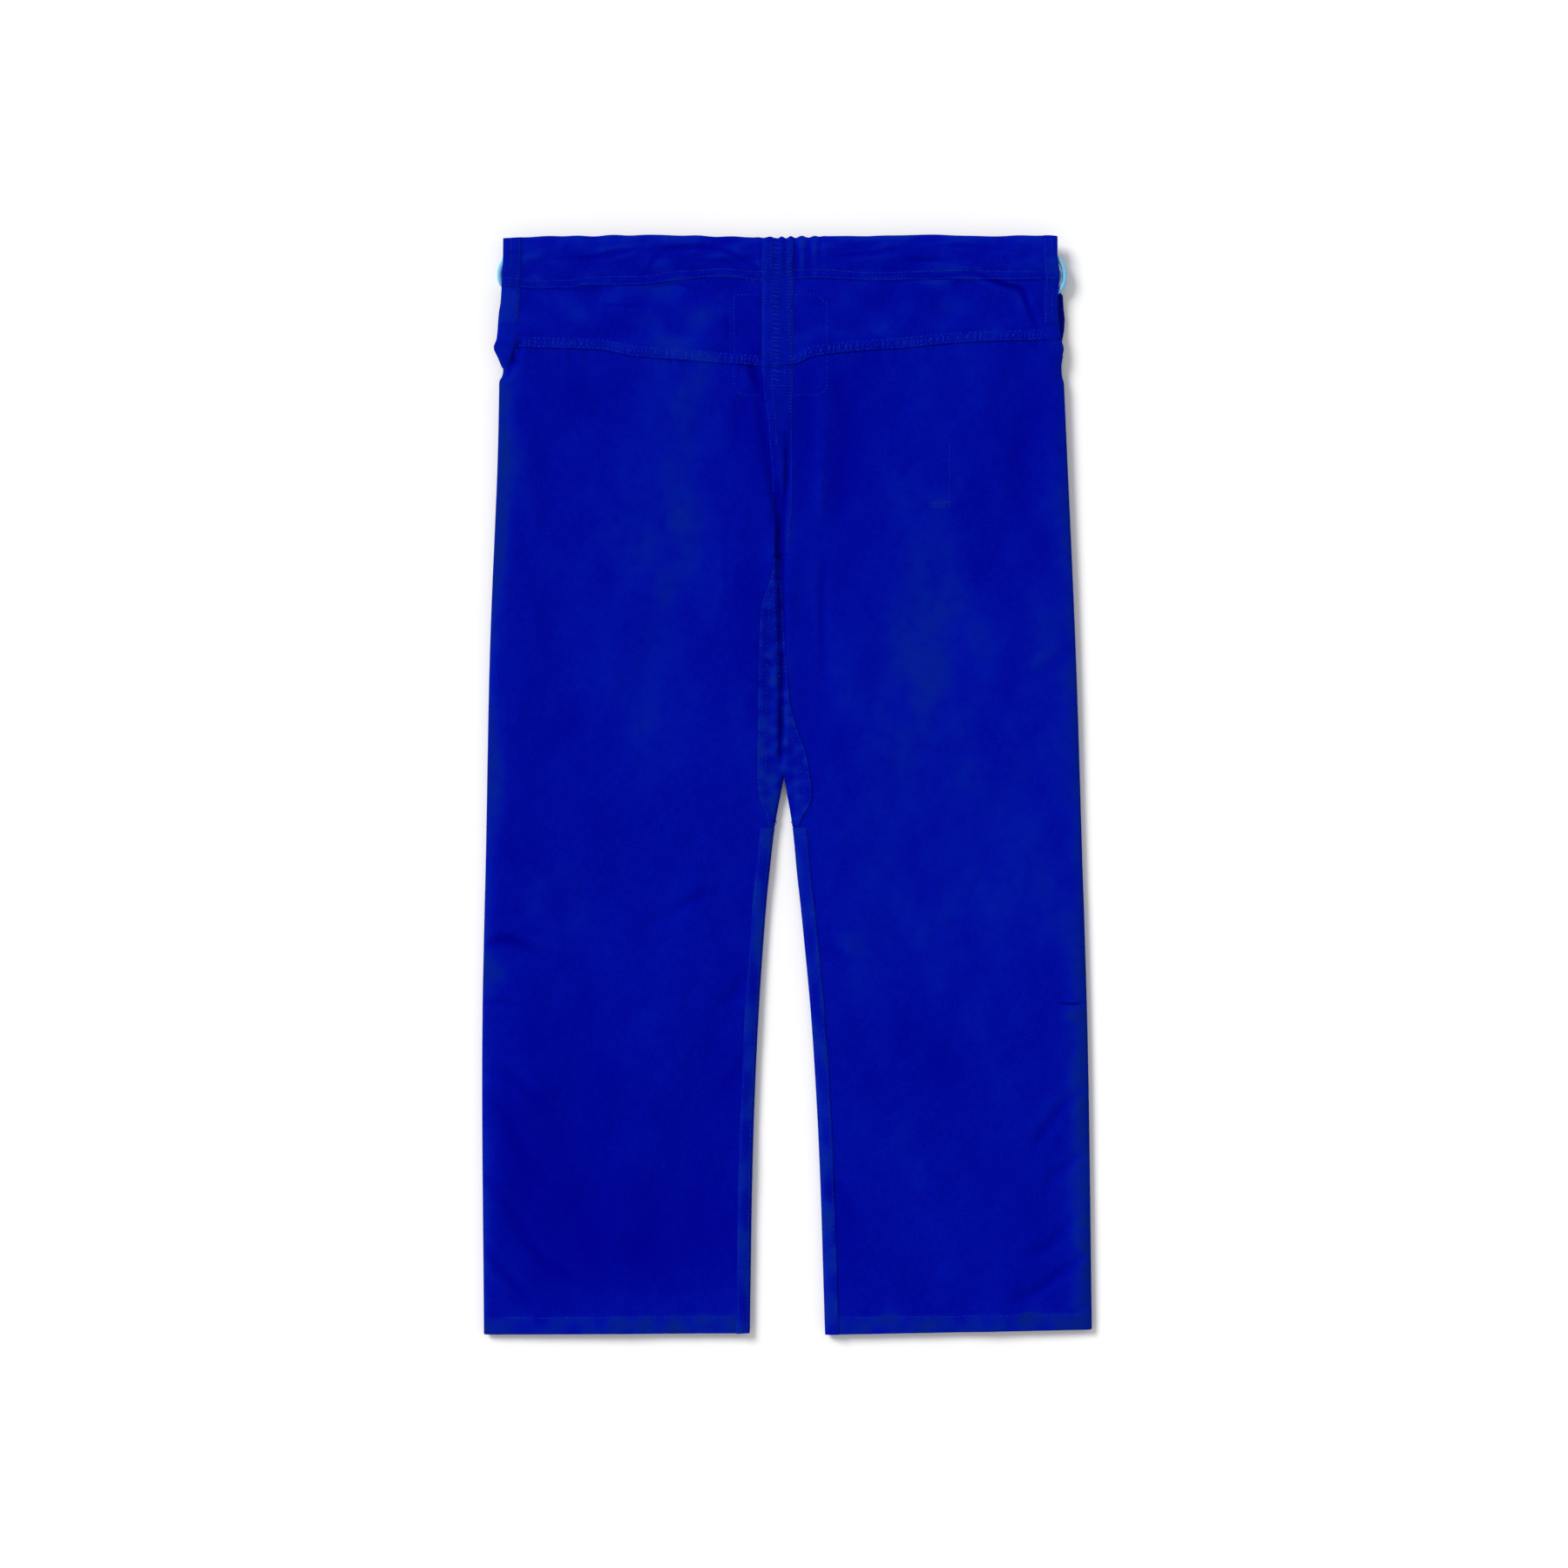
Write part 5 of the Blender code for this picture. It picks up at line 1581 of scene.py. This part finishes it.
def inseam(side):
    """Felled seam along the leg's inner edge, stitched down on the back."""
    y = spread((GUSSET_TIP - GAP, HEM, 0.0024))[:, None]
    away = np.concatenate([EDGE_COLUMNS[:10], [0.0072, 0.0088, 0.0102, 0.0113, 0.0120, FELL_WIDTH]])[None, :]
    x = side.inner(y) - side.inward * away
    y = np.broadcast_to(y, x.shape)
    face = np.stack([x, y, fell_height(x, y)], axis=-1)
    fade = 0.25 + 0.4 * np.exp(-away / 0.003) + 0.28 * waves(x, y, 0.022, 74, (1, 1.6))
    piece = cloth_grid(f"{side.name}_inseam_fell", face, TRIM, fade)
    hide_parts(f"{side.name}_inseam_upper", f"{side.name}_inseam_lower")
    side.fold(piece)


def knee_cloth(side):
    """Second layer of cloth on the front of the leg, from above the knee to the hem."""
    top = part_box(f"{side.name}_knee_patch_upper")[1].y
    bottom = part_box(f"{side.name}_knee_patch_lower")[0].y
    y = spread((top, bottom, 0.0042))[:, None]
    outer, inner = side.knee_edges(y)
    share = np.linspace(0, 1, 52)[None, :]
    x = outer + share * (inner - outer)
    y = np.broadcast_to(y, x.shape)
    face = np.stack([x, y, front_second(x, y)], axis=-1)
    near = np.minimum(share, 1 - share) * np.abs(inner - outer)
    fade = 0.5 * np.exp(-near / 0.003) + 0.35 * soft_box(x, y, ((-1, KNEE - 0.06), (1, KNEE + 0.07)), 0.02)
    piece = cloth_grid(f"{side.name}_knee_cloth", face, DOUBLE, fade, down=True)
    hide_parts(f"{side.name}_knee_patch_upper", f"{side.name}_knee_patch_lower")
    side.fold(piece)


GUSSET_LAP = 0.0025


def gusset_lift(x, y):
    """How far the gusset stands off the leg cloth: a whole layer where it laps over it."""
    near = np.minimum(x - LEFT.seam(y), RIGHT.seam(y) - x) + GUSSET_LAP
    return LAYER * (0.12 + 0.88 * np.exp(-((np.maximum(near, 0) / 0.0070) ** 4)))


def gusset_height(x, y):
    return back_height(x, y) + gusset_lift(x, y)


def gusset_underside(x, y):
    return front_height(x, y) - gusset_lift(x, y) * 0.5


def gusset():
    """Diamond of cloth between the legs, folded over the crotch: a back and a front half."""
    down = spread((GUSSET_TOP - 0.002, GUSSET_TIP + GAP, 0.003))
    up = down[::-1]
    rise = spread((GUSSET_TIP + GAP, CROTCH[1], 0.0015))
    left = [(float(LEFT.seam(y)) - GUSSET_LAP, y) for y in up]
    right = [(float(RIGHT.seam(y)) + GUSSET_LAP, y) for y in down]
    notch = [(float(RIGHT.inner(y)), y) for y in rise[:-1]] + [CROTCH]
    notch += [(float(LEFT.inner(y)), y) for y in rise[:-1][::-1]]
    outline = left + right + notch

    def fade(x, y):
        mottle = 0.30 * waves(x, y, 0.014, 76) + 0.15 * (x < CROTCH[0])
        # the creases get painted shade; the edges are lighter
        return tones_and_crease_shading(x, y) + mottle + 0.35 * np.exp(-gusset_edge(x, y) / 0.004)

    def gusset_edge(x, y):
        return np.maximum(np.minimum(x - LEFT.seam(y), RIGHT.seam(y) - x) + GUSSET_LAP, 0)

    back = cut_piece(
        "crotch_gusset_back", outline, 0.0018, gusset_height, TRIM, fade=fade
    )
    front = cut_piece(
        "crotch_gusset_front", outline, 0.0024, gusset_underside, DOUBLE, down=True
    )
    for piece in (back, front):
        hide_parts("crotch_gusset")
        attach(piece, "upper")


def corner(x, y, radius, turns):
    """Points round a quarter circle, from an angle given in turns."""
    angles = [2 * math.pi * (turns + i / 24) for i in range(7)]
    return [(x + radius * math.cos(angle), y + radius * math.sin(angle)) for angle in angles]


def patches():
    """The seat's inner reinforcement and the blank patch on the front of one thigh."""
    (x0, y0), (x1, y1) = SEAT_PATCH
    radius = 0.012
    outline = [(x0, y1), (x0, y0 + radius), *corner(x0 + radius, y0 + radius, radius, 0.5)]
    outline += [*corner(x1 - radius, y0 + radius, radius, 0.75), (x1, y1)]

    def inside(x, y):
        return back_height(x, y) + yoke_folds(x, y) - LAYER

    seat = cut_piece("seat_patch_cloth", dense(outline, 0.003), 0.0035, inside, DOUBLE)
    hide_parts("seat_patch")
    (tx0, ty0), (tx1, ty1) = THIGH_PATCH
    corners = [(tx0, ty0), (tx1, ty0), (tx1, ty1), (tx0, ty1)]
    thigh = cut_piece(
        "thigh_patch_cloth", dense(corners, 0.002), 0.0025, front_second, TRIM, down=True
    )
    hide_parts("thigh_patch")
    for piece, low, high, under in (
        (seat, (x0, y0), (x1, y1), "left_back_cloth"), (thigh, (tx0, ty0), (tx1, ty1), "right_front_cloth"),
    ):
        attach(piece, "upper")


# ---------------------------------------------------------------- stitching


def stitch_seats(points, pitch=STITCH_PITCH, length=STITCH_LENGTH):
    """Five points along each stitch of a row that follows a line of (x, y) points."""
    line = np.array(points, float)
    run = run_along(line)
    middles = np.arange(pitch / 2, run[-1], pitch)
    at = middles[:, None] + length * np.array([-0.5, -0.36, 0, 0.36, 0.5])[None, :]
    at = np.clip(at, 0, run[-1])
    return np.stack([np.interp(at, run, line[:, i]) for i in range(2)], axis=-1)


def stitches(name, rows, facing=1):
    """Raised stitches in one mesh. Each row is (seats, height field)."""
    thickness = np.array([0.35, 0.85, 1.0, 0.85, 0.35]) * THREAD
    lift = np.array([-1.3, 0.0, 0.55, 0.0, -1.3]) * THREAD
    turn = np.linspace(0, 2 * math.pi, 5, endpoint=False)
    blocks = []
    for seats, height in rows:
        z = height(seats[..., 0], seats[..., 1]) + facing * lift
        centres = np.concatenate([seats, z[..., None]], axis=-1)
        ahead = unit(centres[:, 4] - centres[:, 0])[:, None, None, :]
        side = unit(np.cross(np.array([0.0, 0.0, 1.0]), ahead))
        up = np.cross(ahead, side)
        ring = np.cos(turn)[:, None] * side + np.sin(turn)[:, None] * up
        blocks.append(centres[:, :, None, :] + thickness[None, :, None, None] * ring)
    rings = np.concatenate(blocks)
    count = len(rings)
    dice = np.random.default_rng(count)
    rings = rings + dice.normal(0, 0.00006, (count, 1, 1, 3))
    fade = np.repeat(dice.uniform(0, 1, count) ** 1.3, 25)
    index = np.arange(count * 25).reshape(count, 5, 5)
    beside = np.roll(index, -1, axis=2)
    quads = np.stack([index[:, :-1], beside[:, :-1], beside[:, 1:], index[:, 1:]], axis=-1).reshape(-1, 4)
    faces = quads.tolist() + index[:, 0, ::-1].tolist() + index[:, 4].tolist()
    return finish_mesh(name, rings.reshape(-1, 3), faces, THREAD_BLUE, fade)


def along_x(start, end, y_at, spacing=0.002):
    """Line of points across the garment, at a y that depends on x."""
    x = np.arange(start, end, spacing)
    return np.stack([x, y_at(x)], axis=1)


def along_y(start, end, x_at):
    """Line of points down the garment, at an x that depends on y."""
    y = np.arange(start, end, -0.002)
    return np.stack([x_at(y), y], axis=1)


def ladder(points_at, low, high, start, end, pitch, lean=0.35):
    """Cover threads that cross between two offsets from a seam, unevenly spaced."""
    dice = np.random.default_rng(round(pitch * 1e5))
    seats = []
    x = start
    while x < end:
        a = np.array(points_at(x, low))
        b = np.array(points_at(x + pitch * lean, high))
        seats.append([a + (b - a) * t for t in (0, 0.14, 0.5, 0.86, 1)])
        x += pitch * dice.uniform(0.75, 1.25)
    return np.array(seats)


def waist_stitches():
    """The two rows that close the casing, on both sides of the centre tape."""
    left_end, right_end = LEFT.outer(0.45) + 0.0165, RIGHT.outer(0.45) - 0.0165
    rows = []
    for offset, seed in ((LOWER_ROW, 61), (UPPER_ROW, 62)):
        for start, end in ((left_end, CENTRE - TAPE_REACH), (CENTRE + TAPE_REACH, right_end)):
            line = along_x(
                float(start), float(end),
                lambda x: casing_seam(x) + offset + 0.0003 * waves(x, 0 * x, 0.05, seed),
            )
            rows.append((stitch_seats(line), casing_height))
    return stitches("waist_stitches", rows)


def yoke_stitches(side):
    """Several rows and a cover thread that hold down the band along the yoke's edge."""
    seam = yoke_seam[side.name]
    outer = float(side.outer(0.39)) + side.inward * 0.016
    start, end = sorted((outer, CENTRE - side.inward * TAPE_REACH))
    rows = []
    for offset in (0.0012, 0.0084):
        line = along_x(start, end, lambda x: seam(x) + offset)
        rows.append((stitch_seats(line, 0.0044, 0.0026), yoke_height))

    def place(x, offset):
        return (x, float(seam(x)) + offset)

    for low, high, pitch, lean in ((0.0014, 0.0078, 0.0057, 0.10), (0.0030, 0.0066, 0.0083, 0.30)):
        rows.append((ladder(place, low, high, start, end, pitch, lean), yoke_height))
    return stitches(f"{side.name}_yoke_stitches", rows)


def centre_stitches():
    """Rows down both edges of the centre tape, with a zigzag column between them."""
    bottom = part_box("centre_back_tape")[0].y
    rows = []

    def across(y, share):
        return tape_left(y) + share * (tape_right(y) - tape_left(y))

    for share, end in (
        (0.04, 0.260), (0.11, 0.425), (0.30, 0.300), (0.82, 0.400), (0.88, 0.330), (0.94, bottom + 0.002),
    ):
        line = along_y(TOP - 0.004, end, lambda y: across(y, share) + 0.0002 * np.sin(y * 160))
        rows.append((stitch_seats(line), tape_height))

    def place(y, share):
        return (float(across(-y, share)), -y)

    rows.append((ladder(place, 0.33, 0.57, -(TOP - 0.004), -0.360, 0.0036), tape_height))
    for cross_y in (0.3755, 0.3680, 0.3560):
        start, end = float(across(cross_y, 0.25)), float(across(cross_y, 0.80))
        rows.append((stitch_seats(along_x(start, end, lambda x: cross_y + 0 * x)), tape_height))
    return stitches("centre_stitches", rows)


def patch_stitches():
    """Outline of the inner seat patch, sewn through from the inside."""
    (x0, y0), (x1, y1) = SEAT_PATCH
    inset, radius = 0.0022, 0.010
    x0, y0, x1, y1 = x0 + inset, y0 + inset, x1 - inset, y1 - inset
    left = [(x1 - 0.010, y1), (x0, y1), *corner(x0 + radius, y0 + radius, radius, 0.5)]
    right = [*corner(x1 - radius, y0 + radius, radius, 0.75), (x1, y1 - 0.008), (x1 - 0.010, y1)]
    keep = []
    for line in ([*left, (CENTRE - 0.014, y0)], [(CENTRE + 0.014, y0), *right]):
        seats = stitch_seats(line, 0.0032, 0.0020)
        middle = seats[:, 2]
        covered = np.abs(middle[:, 0] - CENTRE) < TAPE_REACH
        above = middle[:, 1] - yoke_edge(middle[:, 0])
        band = (above > -0.001) & (above < BAND_DEPTH)
        keep.append((seats[~covered & ~band], outermost))
    return stitches("seat_patch_stitches", keep)


def imprint_stitches():
    """Thread that shows on the back where the front's thigh patch is sewn through."""
    (_, y0), (x1, y1) = THIGH_PATCH
    rows = []
    side_line = along_y(y1 - 0.008, y0 - 0.003, lambda y: x1 - 0.0005 + 0 * y)
    rows.append((stitch_seats(side_line, 0.0024), back_face))
    for drop in (-0.0026, -0.0010, 0.0006, 0.0022):
        line = along_x(x1 - 0.0185, x1, lambda x: y0 + drop + 0 * x, 0.001)
        rows.append((stitch_seats(line, 0.0024), back_face))
    return stitches("thigh_patch_imprint", rows)


def facing_stitches(side, outer_line, inner_line):
    """Rows down the hip facing, and the casing's two rows carried across it."""

    def facing_height(x, y):
        return outermost(x, y) + LAYER - 0.00005

    rows = []
    for share in (0.42, 0.88):
        line = along_y(
            TOP - 0.0045, FOLD_LINE + 0.002,
            lambda y: outer_line(y) + share * (inner_line(y) - outer_line(y)),
        )
        rows.append((stitch_seats(line), facing_height))
    for offset in (LOWER_ROW, UPPER_ROW):
        y = float(casing_seam(side.outer(0.45))) + offset
        ends = (float(outer_line(y)) + side.inward * 0.003, float(inner_line(y)) - side.inward * 0.001)
        line = along_x(*sorted(ends), lambda x: y + 0 * x, 0.001)
        rows.append((stitch_seats(line), facing_height))
    return stitches(f"{side.name}_facing_stitches", rows)


def leg_stitches(side):
    """Two rows along the felled inseam and one row round the hem, on the back."""
    rows = []
    for away in (0.0026, 0.0106):
        line = along_y(GUSSET_TIP - 0.002, HEM + 0.002, lambda y: side.inner(y) - side.inward * away)
        rows.append((stitch_seats(line), fell_height))

    start, end = sorted((
        float(side.outer(HEM)) + side.inward * 0.004,
        float(side.inner(HEM)) - side.inward * (FELL_WIDTH + 0.001),
    ))
    line = along_x(start, end, lambda x: HEM + 0.0148 + 0.0002 * np.sin(x * 120))
    rows.append((stitch_seats(line), back_face))
    return stitches(f"{side.name}_leg_stitches", rows)


def front_leg_stitches(side):
    """Rows round the knee cloth and the hem, on the front."""
    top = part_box(f"{side.name}_knee_patch_upper")[1].y
    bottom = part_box(f"{side.name}_knee_patch_lower")[0].y

    rows = []
    for away in (0.0018, 0.0072):
        for edge in (0, 1):
            line = along_y(top - away, bottom, lambda y: side.knee_edges(y, away)[edge])
            rows.append((stitch_seats(line), front_second))
    for y in (top - 0.0018, top - 0.0072, KNEE + 0.030, KNEE + 0.060, bottom + 0.0018):
        start, end = sorted(float(x) for x in side.knee_edges(y, 0.002))
        rows.append((stitch_seats(along_x(start, end, lambda x: y + 0 * x)), front_second))
    start, end = sorted(float(x) for x in side.knee_edges(HEM))
    rows.append((stitch_seats(along_x(start, end, lambda x: HEM + 0.0130 + 0 * x)), front_face))
    return stitches(f"{side.name}_front_leg_stitches", rows, facing=-1)


def gusset_stitches():
    """Rows beside the gusset's seams, on the leg cloth, back and front."""
    back_rows, front_rows = [], []
    for side in SIDES:
        for inset in (0.0012, 0.0075):
            line = along_y(
                GUSSET_TOP - 0.012, GUSSET_TIP + 0.002,
                lambda y: side.seam(y) - side.inward * (GUSSET_LAP - inset),
            )
            back_rows.append((stitch_seats(line, 0.0042, 0.0019), gusset_height))
            front_rows.append((stitch_seats(line), gusset_underside))
    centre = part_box("centre_front_tape")
    for x in (centre[0].x + 0.0014, centre[1].x - 0.0014):
        line = along_y(centre[1].y - 0.002, centre[0].y + 0.002, lambda y: x + 0 * y)
        front_rows.append((stitch_seats(line), front_second))
    (x0, y0), (x1, y1) = THIGH_PATCH
    edge = 0.0020
    square = [
        (x0 + edge, y0 + edge), (x1 - edge, y0 + edge), (x1 - edge, y1 - edge), (x0 + edge, y1 - edge),
        (x0 + edge, y0 + edge),
    ]
    front_rows.append((stitch_seats(square), front_second))
    return stitches("gusset_stitches", back_rows), stitches("front_stitches", front_rows, facing=-1)


# ---------------------------------------------------------------- scene


def build():
    """Make every piece, and attach the stitches on the upper part to the upper body."""
    camera()
    lights()
    floor()
    hip_loops()
    casing_runs()
    tails()
    upper = []
    for side in SIDES:
        front_cloth(side)
        knee_cloth(side)
        side_seam(side)
        back_cloth(side)
        inseam(side)
        yoke(side)
        back_casing(side)
        front_casing(side)
        front_facing(side)
        cord_strap(side)
        upper.append(facing_stitches(side, *back_facing(side)))
        upper.append(yoke_stitches(side))
        side.fold(leg_stitches(side))
        side.fold(front_leg_stitches(side))
    gusset()
    patches()
    back_tape()
    front_tape()
    upper += [waist_stitches(), centre_stitches(), patch_stitches(), imprint_stitches()]
    upper += gusset_stitches()
    for piece in upper:
        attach(piece, "upper")


build()
